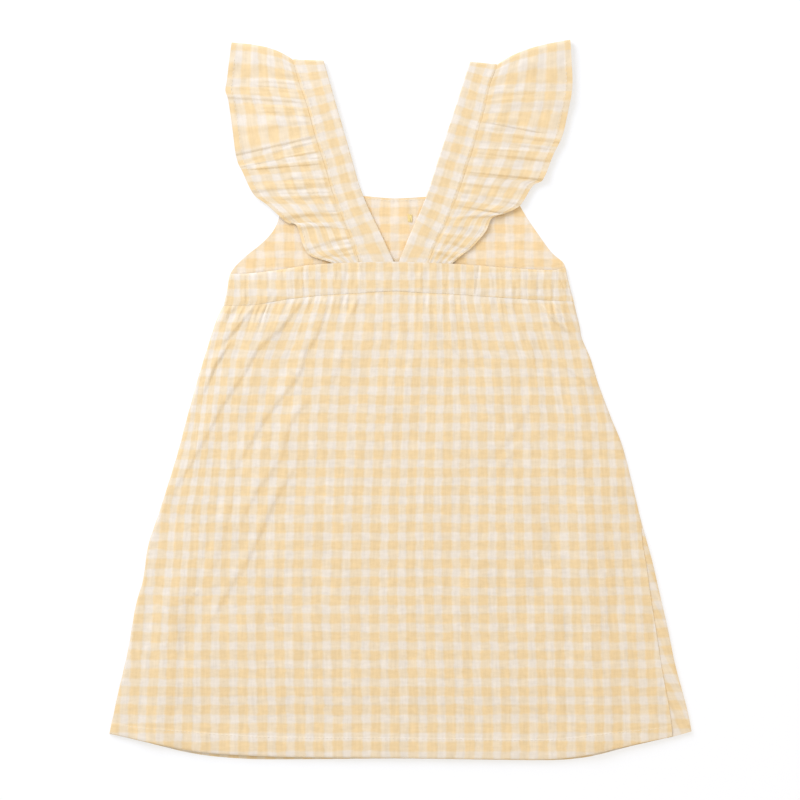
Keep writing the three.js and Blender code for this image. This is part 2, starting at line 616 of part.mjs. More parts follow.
// A strip that runs up the back, over the shoulder and down the front, as a wall of even thickness.
// Each half gives its points and its heights at a distance down from the shoulder.
function strip({ back, front, backStations, frontStations, across, thickness }) {
  const middle = (station, w) => {
    const radius = (back.level(0, w) - front.level(0, w)) / 2;
    if (station.turn === undefined) {
      return [...station.half.at(station.down, w), station.half.level(station.down, w)];
    }
    const half = station.turn > 0 ? back : front;
    const point = half.at(radius * (1 - Math.cos(station.turn)), w);
    return [...point, front.level(0, w) + radius * (1 + Math.sin(station.turn))];
  };
  const stations = [
    ...backStations.map((down) => ({ half: back, down })).reverse(),
    ...[90, 50, 0, -50, -90].map((angle) => ({ turn: degToRad(angle) })),
    ...frontStations.map((down) => ({ half: front, down })),
  ];
  const grid = stations.map((station) => across(station).map((w) => middle(station, w)));
  const near = (list, i) => list[clamp(i, 0, list.length - 1)];
  const vector = (r, c) => new THREE.Vector3(...near(near(grid, r), c));
  return wall(grid.map((points, r) => {
    const row = { across: steps(points.length - 1), outer: [], inner: [] };
    points.forEach((_, c) => {
      const down = vector(r + 1, c).sub(vector(r - 1, c));
      const out = vector(r, c + 1).sub(vector(r, c - 1));
      const offset = down.cross(out).setLength(thickness / 2);
      row.outer.push(vector(r, c).add(offset).toArray());
      row.inner.push(vector(r, c).sub(offset).toArray());
    });
    return row;
  }));
}

const spaced = (from, to, count) => steps(count).map((s) => lerp(from, to, s));

// Strap: from the waistband's V over the shoulder and down to the front neckline
function strap(backTable, frontTable) {
  const back = stretch(backTable, 'innerX', 'innerUp');
  const [shoulder] = backTable;
  const frontRows = frontTable.map((row, i) => ({
    ...row,
    innerUp: i === 0 ? shoulder.innerUp : row.seamUp,
  }));
  const front = stretch(frontRows, 'innerX', 'innerUp');
  const lift = back.read('lift');
  back.level = (s) => lift(s);
  front.level = () => STRAP_CLOTH / 2;
  return strip({
    back,
    front,
    backStations: spaced(4, back.length, 18),
    frontStations: spaced(4, front.length, 5),
    across: () => steps(3),
    thickness: STRAP_CLOTH,
  });
}

// Ruffle: a gathered strip on the strap's outer edge, folded over at the shoulder
function ruffle(backTable, frontTable, strapTable, folds) {
  const back = stretch(backTable, 'edgeX', 'edgeUp');
  const front = stretch(frontTable, 'edgeX', 'edgeUp');
  const strapLift = stretch(strapTable, 'innerX', 'innerUp').read('lift');
  const rest = back.read('rest');
  const crown = (s, w) => CROWN.rise * Math.sin(Math.PI * w ** 0.75) * Math.exp(-s / CROWN.length);
  for (const half of [back, front]) {
    const flat = half.at;
    half.at = (s, w) => {
      const [x, up] = flat(s, w);
      return [x, up + crown(s, w)];
    };
  }
  back.level = (s, w) => {
    let waves = 0;
    for (const fold of folds) {
      const crest = lerp(fold.seam, fold.edge, w);
      waves = Math.max(waves, fold.rise * ridge(s - crest, fold.above, fold.below));
    }
    const turns = (2 * Math.PI * s) / ROOT_GATHER.pitch + 0.8 * Math.sin(s * 0.13);
    const gathers = ROOT_GATHER.rise * (1 - smoothstep(w, 0.1, 0.5)) * (0.5 + 0.5 * Math.sin(turns));
    const level = lerp(strapLift(s), rest(s), smoothstep(w, 0, 0.6));
    return level + smoothstep(s, 0, 5) * (waves * (0.15 + 0.85 * w ** 0.6) + gathers);
  };
  front.level = (s, w) => {
    const wave = 0.5 - 0.5 * Math.cos((2 * Math.PI * s) / FRONT_WAVE.pitch);
    return CLOTH / 2 + FRONT_WAVE.rise * wave * w * smoothstep(s, 0, 8);
  };
  const gap = 2 * SEAM_GAP;
  const across = (station) => {
    const half = station.half ?? (station.turn > 0 ? back : front);
    const down = station.down ?? 0;
    const [rootX, rootUp] = half.at(down, 0);
    const [farX, farUp] = half.at(down, 1);
    const start = gap / Math.hypot(farX - rootX, farUp - rootUp);
    return [0, 0.18, 0.42, 0.7, 1].map((w) => lerp(start, 1, w));
  };
  return strip({
    back,
    front,
    backStations: spaced(5, back.length, 54),
    frontStations: spaced(5, front.length, 14),
    across,
    thickness: CLOTH,
  });
}

const frontLayer = new THREE.Group();
frontLayer.add(
  piece('front_skirt', frontSkirt(), 0xf6e2b8),
  piece('front_bodice', frontBodice(), 0xf3dcae),
);
const backLayer = new THREE.Group();
backLayer.add(
  piece('back_skirt', backSkirt(), 0xfbe6bd),
  piece('back_waistband', backWaistband(), 0xfae3b4),
);
const shoulders = new THREE.Group();
shoulders.add(
  piece('strap_left', strap(LEFT_STRAP_BACK, LEFT_FRONT), 0xfce9c6),
  piece('strap_right', strap(RIGHT_STRAP_BACK, RIGHT_FRONT), 0xfce9c6),
  piece(
    'ruffle_left',
    ruffle(LEFT_RUFFLE_BACK, LEFT_FRONT, LEFT_STRAP_BACK, LEFT_RUFFLE_FOLDS),
    0xf9dfab,
  ),
  piece(
    'ruffle_right',
    ruffle(RIGHT_RUFFLE_BACK, RIGHT_FRONT, RIGHT_STRAP_BACK, RIGHT_RUFFLE_FOLDS),
    0xf9dfab,
  ),
);

// The origin is the middle of the dress on the surface that it lies on
const dress = new THREE.Group();
for (const layer of [frontLayer, backLayer, shoulders]) {
  layer.position.y = -LENGTH / 2;
  dress.add(layer);
}

export default dress;
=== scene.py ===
# A child's sundress of gingham seersucker with ruffled straps, laid flat on its front, back up.
# Lengths are millimetres until a mesh is made: x from the centre line, up from the lowest point of
# the hem, z from the surface that the dress lies on.

import math

import bpy
import numpy as np
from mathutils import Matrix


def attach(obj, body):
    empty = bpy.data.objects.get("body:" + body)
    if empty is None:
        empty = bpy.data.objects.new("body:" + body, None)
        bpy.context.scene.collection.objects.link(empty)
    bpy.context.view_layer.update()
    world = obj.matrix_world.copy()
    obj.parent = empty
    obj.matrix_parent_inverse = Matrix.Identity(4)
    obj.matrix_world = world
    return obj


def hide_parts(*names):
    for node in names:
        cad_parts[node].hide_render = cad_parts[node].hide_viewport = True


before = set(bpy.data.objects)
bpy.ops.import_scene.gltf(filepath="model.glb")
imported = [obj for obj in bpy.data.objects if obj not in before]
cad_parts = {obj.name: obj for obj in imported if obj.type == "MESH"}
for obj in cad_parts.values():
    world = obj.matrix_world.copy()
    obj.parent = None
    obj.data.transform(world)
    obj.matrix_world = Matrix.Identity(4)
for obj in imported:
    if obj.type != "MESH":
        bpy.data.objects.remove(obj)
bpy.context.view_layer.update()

# Front skirt: an A-line panel of gingham seersucker. It lies on the surface, and turns up round both
# sides to the side seams, further on the right, where a strip of it shows beside the back skirt.

MM = 0.001
LENGTH = 518.5
SKIRT_LENGTH = 307.5
CLOTH = 1.0
SHELL = 0.5
SEAM_GAP = 0.3
WRAP_RADIUS = 0.8
SIDE_INSET = CLOTH / 2 + WRAP_RADIUS
LEFT_WRAP = 0.4

LEFT_SIDE = [
    (19.4, -209.5), (44.6, -204), (77.8, -196.3), (111.6, -190.3), (129.6, -185.3), (154, -181.5),
    (177, -174), (216.7, -161.5), (259.2, -150), (298, -138.5), (319, -131.3), (327.4, -127),
]
RIGHT_SIDE = [
    (21.2, 209.5), (35.3, 206.7), (69, 197.7), (93.6, 192.7), (118, 187), (143.3, 181.2),
    (172, 173.3), (193, 168.2), (226.8, 159.6), (246.2, 151.7), (271.4, 142.3), (289.8, 136.5),
    (303.5, 130.6), (311, 129.3), (330, 124.7),
]
RIGHT_WRAP = [(19, 13.2), (71, 9), (105, 7), (157, 2.6), (190, 0.5), (335, 0.4)]
HEM = [
    (-209.5, 19.4, 0.3), (-184, 13.7, 0.6), (-149, 6.6, 1.8), (-113, 3.7, 2.6), (-72, 2.3, 1.6),
    (0, 1.8, 0.6), (75, 0.8, 0.6), (100, 0.7, 0.7), (117, 1.5, 1.2), (137, 4.3, 1.6),
    (165, 10.8, 1.0), (192, 16.6, 0.5), (209.5, 21.2, 0.3),
]
BAND_BOTTOM = [
    (-127, 327.2), (-105.5, 327.6), (-93, 329.6), (-80, 331.8), (-66.5, 333.4), (-52, 334.8),
    (-32, 335.9), (-4.5, 337.4), (15, 336.3), (34.5, 335.5), (54.5, 334.1), (74.5, 332.7),
    (98.5, 331.2), (124.7, 330.1),
]


def smooth_line(rows, value=1):
    """A smooth line through a table, as a function of the table's first column."""
    at = np.array([row[0] for row in rows], float)
    level = np.array([row[value] for row in rows], float)
    here = np.arange(len(at))
    before = np.maximum(here - 1, 0)
    after = np.minimum(here + 1, len(at) - 1)
    slope = (level[after] - level[before]) / (at[after] - at[before])

    def read(where):
        i = np.clip(np.searchsorted(at, where, side="right") - 1, 0, len(at) - 2)
        span = at[i + 1] - at[i]
        s = np.clip((where - at[i]) / span, 0, 1)
        rest = 1 - s
        ends = level[i] * (1 + 2 * s) * rest * rest + level[i + 1] * (1 + 2 * rest) * s * s
        return ends + span * s * rest * (slope[i] * rest - slope[i + 1] * s)

    return read


def lerp(a, b, t):
    return a + (b - a) * t


def smoothstep(value, low, high):
    t = np.clip((value - low) / (high - low), 0, 1)
    return t * t * (3 - 2 * t)


left_side = smooth_line(LEFT_SIDE)
right_side = smooth_line(RIGHT_SIDE)
right_wrap = smooth_line(RIGHT_WRAP)
hem_up = smooth_line(HEM)
hem_peek = smooth_line(HEM, 2)
band_bottom = smooth_line(BAND_BOTTOM)


def soft_waves(x, up, seed, length, height, stretch=2.5):
    """Low uneven waves in cloth, longer down the cloth than across it."""
    draw = np.random.default_rng(seed)
    total = np.zeros_like(x)
    for _ in range(24):
        across = 2 * np.pi / length * draw.uniform(0.6, 1.5) * draw.choice([-1, 1])
        down = 2 * np.pi / (length * stretch) * draw.uniform(-1.5, 1.5)
        total = total + np.cos(across * x + down * up + draw.uniform(0, 2 * np.pi))
    return height * total / math.sqrt(12)


def across_edge(left_x, right_x, up_at):
    """An edge that runs across a panel, at u from 0 to 1."""

    def edge(u):
        x = lerp(left_x, right_x, u)
        return np.stack([x, up_at(x)], -1)

    return edge


def down_edge(top_up, bottom_up, x_at):
    """An edge that runs down the side of a panel, at v from 0 to 1."""

    def edge(v):
        up = lerp(top_up, bottom_up, v)
        return np.stack([x_at(up), up], -1)

    return edge


def panel(top, bottom, left, right):
    """A flat panel blended from its four edges: gives x and up at u across and v down."""

    def at(u, v):
        u, v = np.broadcast_arrays(np.asarray(u, float), np.asarray(v, float))
        across = u[..., None]
        down = v[..., None]
        zero = np.zeros_like(u)
        one = np.ones_like(u)
        ends = (1 - down) * top(u) + down * bottom(u) + (1 - across) * left(v) + across * right(v)
        upper = (1 - across) * top(zero) + across * top(one)
        lower = (1 - across) * bottom(zero) + across * bottom(one)
        points = ends - (1 - down) * upper - down * lower
        return points[..., 0], points[..., 1]

    return at


SHARP_EDGE = math.radians(55)


def make_cloth(name, x, up, z, check, thickness=SHELL, flip=False):
    """A piece of cloth from rows of points on its outer face. check holds the place of each point
    on the flat cloth, across and down, which the gingham follows."""
    rows, columns = x.shape
    frame_y = up - LENGTH / 2
    points = np.stack([x, frame_y, z], -1).reshape(-1, 3) * MM
    r, c = np.meshgrid(np.arange(rows - 1), np.arange(columns - 1), indexing="ij")
    here = r * columns + c
    faces = np.stack([here, here + columns, here + columns + 1, here + 1], -1).reshape(-1, 4)
    if flip:
        faces = faces[:, ::-1]
    mesh = bpy.data.meshes.new(name)
    mesh.from_pydata(points.tolist(), [], faces.tolist())
    layer = mesh.uv_layers.new(name="cloth")
    place = np.stack([np.broadcast_to(part, x.shape) for part in check], -1).reshape(-1, 2) * MM
    corner = np.zeros(len(mesh.loops), int)
    mesh.loops.foreach_get("vertex_index", corner)
    layer.data.foreach_set("uv", place[corner].astype(np.float32).ravel())
    mesh.shade_smooth()
    piece = bpy.data.objects.new(name, mesh)
    bpy.context.scene.collection.objects.link(piece)
    shell = piece.modifiers.new("Thickness", "SOLIDIFY")
    shell.thickness = thickness * MM
    shell.offset = -1
    shell.use_even_offset = False
    bpy.context.view_layer.objects.active = piece
    bpy.ops.object.modifier_apply(modifier="Thickness")
    mesh.set_sharp_from_angle(angle=SHARP_EDGE)
    return piece


CHECK_PITCH_ACROSS = 13.4
CHECK_PITCH_DOWN = 13.1
CREAM = (0.81, 0.732, 0.638)
HALF_TONE = (0.81, 0.677, 0.493)
YELLOW = (0.818, 0.622, 0.362)


def gingham(name, painted_shade_tint=(1, 1, 1)):
    """Yarn-dyed gingham in cream and yellow, with the slubs and fine puckers of seersucker."""
    material = bpy.data.materials.new(name)
    material.use_nodes = True
    nodes = material.node_tree.nodes
    links = material.node_tree.links
    shader = nodes["Principled BSDF"]
    shader.inputs["Roughness"].default_value = 0.88
    shader.inputs["Specular IOR Level"].default_value = 0.15
    shader.inputs["Sheen Weight"].default_value = 0.1
    shader.inputs["Sheen Roughness"].default_value = 0.6
    place = nodes.new("ShaderNodeUVMap")
    place.uv_map = "cloth"

    def maths(operation, *values):
        node = nodes.new("ShaderNodeMath")
        node.operation = operation
        for socket, value in zip(node.inputs, values):
            if isinstance(value, (int, float)):
                socket.default_value = value
            else:
                links.new(value, socket)
        return node.outputs[0]

    def uneven(per_metre_across, per_metre_down, detail, output="Fac"):
        stretched = nodes.new("ShaderNodeMapping")
        stretched.inputs["Scale"].default_value = (per_metre_across, per_metre_down, 1)
        links.new(place.outputs[0], stretched.inputs["Vector"])
        noise = nodes.new("ShaderNodeTexNoise")
        noise.inputs["Scale"].default_value = 1
        noise.inputs["Detail"].default_value = detail
        noise.inputs["Roughness"].default_value = 0.65
        links.new(stretched.outputs[0], noise.inputs["Vector"])
        return noise.outputs[output]

    split = nodes.new("ShaderNodeSeparateXYZ")
    links.new(place.outputs[0], split.inputs[0])
    shift = nodes.new("ShaderNodeSeparateXYZ")
    links.new(uneven(70, 110, 5, "Color"), shift.inputs[0])

    def stripes(axis, pitch, share):
        t = maths("DIVIDE", split.outputs[axis], pitch * MM)
        t = maths("ADD", t, maths("MULTIPLY_ADD", shift.outputs[axis], 0.36, -0.18))
        off = maths("PINGPONG", t, 0.5)
        edge = nodes.new("ShaderNodeMapRange")
        edge.interpolation_type = "SMOOTHSTEP"
        edge.inputs["From Min"].default_value = share - 0.075
        edge.inputs["From Max"].default_value = share + 0.075
        edge.inputs["To Min"].default_value = 1
        edge.inputs["To Max"].default_value = 0
        links.new(off, edge.inputs["Value"])
        return edge.outputs[0]

    columns = stripes("X", CHECK_PITCH_ACROSS, 0.275)
    rows = stripes("Y", CHECK_PITCH_DOWN, 0.27)
    dyed = maths("MULTIPLY", maths("ADD", columns, rows), 0.5)
    tint = nodes.new("ShaderNodeValToRGB")
    tint.color_ramp.elements.new(0.5)
    for stop, colour in zip(tint.color_ramp.elements, (CREAM, HALF_TONE, YELLOW)):
        # painted_shade_tint multiplies the three colours: a warmer tint that paints warm shade into a whole
        # piece.
        stop.color = [part * more for part, more in zip(colour, painted_shade_tint)] + [1]
    links.new(dyed, tint.inputs[0])

    warp = uneven(320, 34, 2)
    weft = uneven(90, 340, 2)
    crinkle = uneven(330, 260, 3)
    # The base colour is lighter where the same noise raises the slubs and puckers in the bump below, and
    # darker between them: partly the yarn's own uneven tone, partly painted shade of the seersucker's relief.
    slubs_and_shade = maths("SUBTRACT", maths("ADD", maths("MULTIPLY", warp, 0.24), maths("MULTIPLY", weft, 0.2)), 0.22)
    shade = maths("ADD", maths("MULTIPLY_ADD", crinkle, 0.12, 0.94), slubs_and_shade)
    grey = nodes.new("ShaderNodeCombineColor")
    for socket in grey.inputs:
        links.new(shade, socket)
    tone_and_relief_shade = nodes.new("ShaderNodeMix")
    tone_and_relief_shade.data_type = "RGBA"
    tone_and_relief_shade.blend_type = "MULTIPLY"
    tone_and_relief_shade.inputs["Factor"].default_value = 1
    links.new(tint.outputs[0], tone_and_relief_shade.inputs[6])
    links.new(grey.outputs[0], tone_and_relief_shade.inputs[7])
    links.new(tone_and_relief_shade.outputs[2], shader.inputs["Base Color"])

    relief = maths("ADD", maths("MULTIPLY", warp, 0.6), maths("MULTIPLY", weft, 0.35))
    relief = maths("MULTIPLY_ADD", crinkle, 0.5, relief)
    bump = nodes.new("ShaderNodeBump")
    bump.inputs["Strength"].default_value = 0.8
    bump.inputs["Distance"].default_value = 0.35 * MM
    links.new(relief, bump.inputs["Height"])
    links.new(bump.outputs[0], shader.inputs["Normal"])
    return material


cloth_finish = gingham("gingham")

CHECK_KNOTS = [-12, -9, -6, -3, 0, 3, 6, 9, 12, 15]
CHECK_COLUMNS = [
    (28.8, [-179, -140, -99, -58.5, -17.5, 23, 63, 102.5, 143, 182]),
    (115, [-174, -139, -101, -60.5, -19, 20.5, 59.5, 100, 139.5, 177.5]),
    (180, [-168.5, -135.5, -99.5, -58.5, -17.5, 20, 59.5, 97.5, 136, 172.5]),
    (245, [-153.5, -130, -95.5, -55.5, -14.5, 22, 59, 97, 133.5, 167]),
    (288, [-148, -125, -89.5, -52, -12, 23.5, 56.5, 94, 127, 159.5]),
    (310, [-144.5, -119, -81, -50, -9.5, 23.5, 53.5, 87.5, 123, 152.5]),
    (331, [-140.5, -112, -73, -45.5, -9, 23.5, 50, 83.5, 116.5, 143.5]),
]
CHECK_ROW_UP = 115.3


def check_across(x, up):
    """How far across the flat cloth a point of the skirt lies, from the columns of its check."""
    heights = np.array([row[0] for row in CHECK_COLUMNS])
    lines = [smooth_line(list(zip(row[1], CHECK_KNOTS))) for row in CHECK_COLUMNS]
    numbers = []
    for line, (_, places) in zip(lines, CHECK_COLUMNS):
        beyond = np.minimum(x - places[0], 0) + np.maximum(x - places[-1], 0)
        numbers.append(line(x) + beyond / CHECK_PITCH_ACROSS)
    numbers = np.stack(numbers)
    i = np.clip(np.searchsorted(heights, up) - 1, 0, len(heights) - 2)
    share = np.clip((up - heights[i]) / (heights[i + 1] - heights[i]), 0, 1)
    low = np.take_along_axis(numbers, i[None], 0)[0]
    high = np.take_along_axis(numbers, i[None] + 1, 0)[0]
    return lerp(low, high, share) * CHECK_PITCH_ACROSS


SEAM_TUCK = np.array([0.12, 0.42, 3.2])
SEAM_TUCK_Z = np.array([0.9, 0.73, 0.67])
FOLD_SHARE = 0.54
STRIP_SHARE = 0.93
STRIP_CHECK_ACROSS = 11
STRIP_CHECK_DOWN = 3


def strip_share(up):
    """How far the turned-up strip of the front shows on the right: 0 not at all, 1 fully."""
    return smoothstep(right_wrap(up), 0.9, 3)


def front_skirt():
    left_top = LEFT_SIDE[-1]
    right_top = RIGHT_SIDE[-1]
    left_hem = HEM[0]
    right_hem = HEM[-1]
    outline = panel(
        across_edge(left_top[1], right_top[1], lambda x: band_bottom(x) - SEAM_GAP),
        across_edge(left_hem[0], right_hem[0], lambda x: hem_up(x) - hem_peek(x)),
        down_edge(band_bottom(left_top[1]) - SEAM_GAP, left_hem[1] - left_hem[2], left_side),
        down_edge(band_bottom(right_top[1]) - SEAM_GAP, right_hem[1] - right_hem[2], right_side),
    )
    v = np.linspace(0, 1, 130)
    left_x, _ = outline(0, v)
    right_x, _ = outline(1, v)
    outer = WRAP_RADIUS + CLOTH / 2
    turn = np.radians(np.linspace(-90, 90, 13))
    xs = []
    zs = []
    for row, share in enumerate(v):
        left = left_x[row]
        right = right_x[row]
        _, seam_up = outline(np.array([0.0, 1.0]), share)
        seam_left = left_side(seam_up[0]) + SIDE_INSET + LEFT_WRAP
        seam_right = right_side(seam_up[1]) - SIDE_INSET - right_wrap(seam_up[1])
        flat = np.linspace(left + SIDE_INSET, right - SIDE_INSET, 60)[1:-1]
        strip = np.linspace(right - SIDE_INSET, seam_right, 8)[1:]
        xs.append(np.concatenate([
            seam_left + SEAM_TUCK[::-1],
            left + SIDE_INSET - outer * np.cos(turn[::-1]),
            flat,
            right - SIDE_INSET + outer * np.cos(turn),
            strip,
            seam_right - SEAM_TUCK,
        ]))
        high = 2 * outer * lerp(FOLD_SHARE, STRIP_SHARE, strip_share(seam_up[1]))
        low = 2 * outer * FOLD_SHARE
        zs.append(np.concatenate([
            low * SEAM_TUCK_Z[::-1],
            low * (0.5 + 0.5 * np.sin(turn[::-1])),
            np.zeros(len(flat)),
            high * (0.5 + 0.5 * np.sin(turn)),
            np.full(len(strip), high),
            high * SEAM_TUCK_Z,
        ]))
    x = np.array(xs)
    z = np.array(zs)
    u = np.clip((x - left_x[:, None]) / (right_x - left_x)[:, None], 0, 1)
    _, up = outline(u, v[:, None])
    along = np.hypot(np.diff(x, axis=1), np.diff(z, axis=1)).cumsum(1)
    along = np.concatenate([np.zeros((len(v), 1)), along], 1)
    middle = along[:, along.shape[1] // 2][:, None]
    check = (along - middle + STRIP_CHECK_ACROSS, CHECK_ROW_UP - up + STRIP_CHECK_DOWN)
    return make_cloth("front_skirt_cloth", x, up, z, check, flip=True)


front_skirt_cloth = front_skirt()
front_skirt_cloth.data.materials.append(cloth_finish)
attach(front_skirt_cloth, "root")
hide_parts("front_skirt")

# Front bodice: one layer of the same cloth, from the waist seam up to the neckline. Its inside
# shows between and beside the straps. The neckline is turned in and stitched.

NECKLINE = [
    (-84, 405.8), (-55, 406.2), (-27.5, 406), (-4.5, 404.3), (18.5, 405.4), (50, 406), (84, 405.6),
]
LEFT_ARMHOLE = [
    (327.2, -127), (339, -124.4), (351, -121.8), (361.4, -112.6), (370.8, -101), (378.7, -93.1),
    (385.6, -89), (393, -86.8), (405.8, -84),
]
RIGHT_ARMHOLE = [
    (330.1, 124.7), (343, 121.3), (355, 118.6), (358.6, 116.6), (365, 109.2), (378.7, 99),
    (390.2, 91.2), (398.9, 86.2), (405.6, 84),
]
BODICE_SHELL = 0.8
BODICE_CHECK_X = 58
BODICE_CHECK_UP = 382.3
BODICE_PITCH_ACROSS = 13.8
BODICE_PITCH_DOWN = 12.2
# The bodice's gingham takes a warmer, deeper tint: painted warm shade, for the shade beside the straps and
# under the ruffles.
BODICE_WARM_SHADE_TINT = (1.055, 1.02, 0.97)
neckline = smooth_line(NECKLINE)
left_armhole = smooth_line(LEFT_ARMHOLE)
right_armhole = smooth_line(RIGHT_ARMHOLE)


def front_bodice():
    outline = panel(
        across_edge(NECKLINE[0][0], NECKLINE[-1][0], neckline),
        across_edge(BAND_BOTTOM[0][0], BAND_BOTTOM[-1][0], band_bottom),
        down_edge(LEFT_ARMHOLE[-1][0], LEFT_ARMHOLE[0][0], left_armhole),
        down_edge(RIGHT_ARMHOLE[-1][0], RIGHT_ARMHOLE[0][0], right_armhole),
    )
    u = np.linspace(0, 1, 160)[None, :]
    v = np.linspace(0, 1, 60)[:, None]
    x, up = outline(u, v)
    z = CLOTH - 0.15 + np.clip(soft_waves(x, up, 3, 22, 0.07), -0.15, 0.15)
    check = (
        (x - BODICE_CHECK_X) * CHECK_PITCH_ACROSS / BODICE_PITCH_ACROSS,
        (BODICE_CHECK_UP - up) * CHECK_PITCH_DOWN / BODICE_PITCH_DOWN,
    )
    piece = make_cloth("front_bodice_cloth", x, up, z, check, thickness=BODICE_SHELL)
    return piece, np.stack([x[2], up[2] + 0.5, z[2]], -1)[3:-3]


front_bodice_cloth, neckline_line = front_bodice()
# Painted warm shade: the bodice's gingham is tinted warmer than the rest of the dress.
front_bodice_cloth.data.materials.append(gingham("gingham_painted_warm_shade", BODICE_WARM_SHADE_TINT))
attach(front_bodice_cloth, "root")
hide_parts("front_bodice")

# Back skirt: an A-line panel gathered along its top edge under the waistband. Folds run down and
# out from the gathers. The hem is turned up double and stitched, and narrows to both side seams.

HEM_DEPTH = 13
HEM_NARROWS = 5.5
HEM_LIP = 1.6
HEM_RISE = 0.5
HEM_GROOVE = 0.18
HEM_SAG = 0.8
SAG_ABOVE_HEM = 27
WAIST_TUCK = 1.6
BACK_SHELL = 0.35
SEAM_EDGE = 0.35
AIR_RISE = 1.1
CROSS_CREASE_X = 59
CROSS_CREASE_UP = 142
RUCHES = 33
FLAT_MIDDLE = 0.486
FLAT_HALF = 0.075
SKIRT_FOLDS = [
    # run-out left and right of the crest, then up, x and rise down the crest
    (9, 1.6, [(328, -106, 0.9), (314, -116, 1.5), (303.5, -125, 1), (296, -131, 0)]),
    (7, 1.3, [(302, -122, 0), (298, -124.5, 1), (284, -133.5, 1.3), (270, -139.5, 0.9), (258, -145, 0)]),
    (14, 2.2, [
        (328, -74, 0.9), (312, -86, 1.15), (304, -95.2, 1.15), (295, -104, 1.1), (280, -112.5, 1),
        (256, -128.5, 1), (233, -140.5, 0.9), (219.5, -148.5, 0.9), (196.5, -162, 0.7),
        (184, -169, 0.4), (174, -175, 0),
    ]),
    (11, 2, [
        (332, -51.5, 0.7), (320.5, -55.7, 1), (306, -60.7, 0.95), (294, -68.6, 1), (281, -72.2, 0.95),
        (270, -79.3, 0.9), (259, -88, 0.85), (248, -96.6, 0.85), (234, -105.2, 0.8), (224.5, -111, 0.7),
        (210, -120, 0.45), (196, -128, 0),
    ]),
    (9, 2.8, [
        (268, -61.5, 0), (255, -71.3, 0.6), (245, -79.2, 0.9), (230, -84, 1), (219.5, -86.5, 0.8),
        (212, -91.5, 0.8), (188, -108, 0.8), (170, -116.7, 0.4), (158, -121.5, 0),
    ]),
    (7, 2.8, [
        (222, -73, 0), (209, -78.7, 0.7), (187, -91.7, 1), (165.5, -101.2, 1), (140.5, -113.3, 1.1),
        (126, -122.7, 0.9), (104.5, -134.7, 0.6), (90, -140, 0),
    ]),
    (6, 5, [
        (232, -119, 0), (219.5, -121.5, 0.7), (194.5, -123.5, 0.9), (165.5, -129, 0.9),
        (144, -135.5, 0.8), (129.5, -141.5, 0.5), (118, -146, 0),
    ]),
    (16, 10, [
        (145, -150, 0), (122, -160, 1.2), (90, -166, 1.8), (50, -168, 1.8), (20, -179, 1.2), (0, -185, 1),
    ]),
    (3, 2, [(128, -142, 0), (122, -146, 0.8), (113, -155.5, 0.8), (108, -160, 0)]),
    (3, 2, [(336, -30, 0.9), (330, -31.6, 1), (323, -35, 0.7), (312, -40, 0)]),
    (6, 2.5, [(300, -41, 0), (290, -44.6, 0.6), (277, -48, 0.7), (266, -52, 0)]),
    (7, 3, [(334, -8, 0.6), (322, -3, 0.8), (314, 1, 0.7), (304, 3, 0)]),
    (1.1, 3, [(336, 15.4, 0.9), (326, 15.6, 0.8), (318, 15.8, 0.4), (312, 16, 0)]),
    (1.5, 6, [(308, 32, 0), (300, 35.8, 1), (289.5, 44.6, 0.9), (282, 50, 0)]),
    (5, 2.5, [(318, 66, 0), (304, 71, 0.7), (294, 73.7, 0.6), (280, 76, 0)]),
    (6, 2, [(326, 79, 0.6), (322, 80.3, 0.9), (315.5, 85.3, 0.8), (306, 88.1, 0.5), (298, 90, 0)]),
    (4, 1.6, [(331, 88.2, 0.8), (322, 91, 0.7), (316, 92, 0)]),
    (1.2, 5, [
        (331, 100.8, 1), (322.5, 105.3, 1.9), (317, 110.3, 1.8), (309.5, 119.7, 1.4), (304, 128.5, 0.7),
        (300, 133, 0),
    ]),
    (1.2, 4, [(329, 111, 1), (322, 115, 1.6), (314.5, 121, 1.3), (305, 130.5, 0.6), (300, 135, 0)]),
    (7, 2.5, [(308, 93, 0), (302, 93.8, 0.6), (284, 95, 0.6), (274, 96, 0)]),
    (1.3, 6, [(290, 111, 0), (284, 118, 1), (277, 126.7, 1.1), (268, 137.4, 0.7), (262, 144, 0)]),
    (9, 3.5, [(266, 94, 0), (256, 90.5, 0.6), (241, 83, 0.8), (227, 72.3, 0.7), (214, 62, 0)]),
    (6, 3, [(238, 92.5, 0), (230.5, 88, 0.5), (209, 70, 0.5), (200, 62, 0)]),
    (18, 18, [
        (235, 120, 0), (215, 124, 1.2), (165, 134, 1.9), (110, 138, 1.9), (45, 140, 1.7), (0, 143, 1.3),
    ]),
]


def rounded(distance, radius):
    """How far a rounded edge has risen at a distance from its rim, from 0 to 1."""
    return np.sqrt(1 - (1 - np.clip(distance / radius, 0, 1)) ** 2)


def corner(x_at, up_at, start):
    """The height at which a side meets an edge that runs across."""
    up = start
    for _ in range(8):
        up = float(up_at(x_at(up)))
    return up


def fold_height(x, up, folds):
    """Height of folds that run down the cloth, each a crest that falls away on either side."""
    height = np.zeros_like(x)
    for left, right, crest in folds:
        line = smooth_line(crest[::-1])
        rise = smooth_line(crest[::-1], 2)
        lean = (line(up + 1) - line(up - 1)) / 2
        side = (x - line(up)) / np.sqrt(1 + lean ** 2)
        share = np.clip(np.abs(side) / np.where(side < 0, left, right), 0, 1)
        steep = (side > 0) == (left > right)
        height = np.maximum(height, rise(up) * (1 - share ** 2) ** np.where(steep, 1.15, 2))
    return height


def ruche(t):
    """Uneven ridges of the ruched waistband and of the gathers below it, from 0 to 1."""
    turn = 2 * np.pi
    ridges = RUCHES * t + 0.3 * np.sin(turn * 3.3 * t) + 0.15 * np.sin(turn * 7.1 * t + 1)
    uneven = 0.75 + 0.25 * np.sin(turn * 5.3 * t + 2)
    ruched = smoothstep(np.abs(t - FLAT_MIDDLE), FLAT_HALF, FLAT_HALF + 0.02)
    return ruched * uneven * (0.5 + 0.5 * np.cos(turn * ridges))


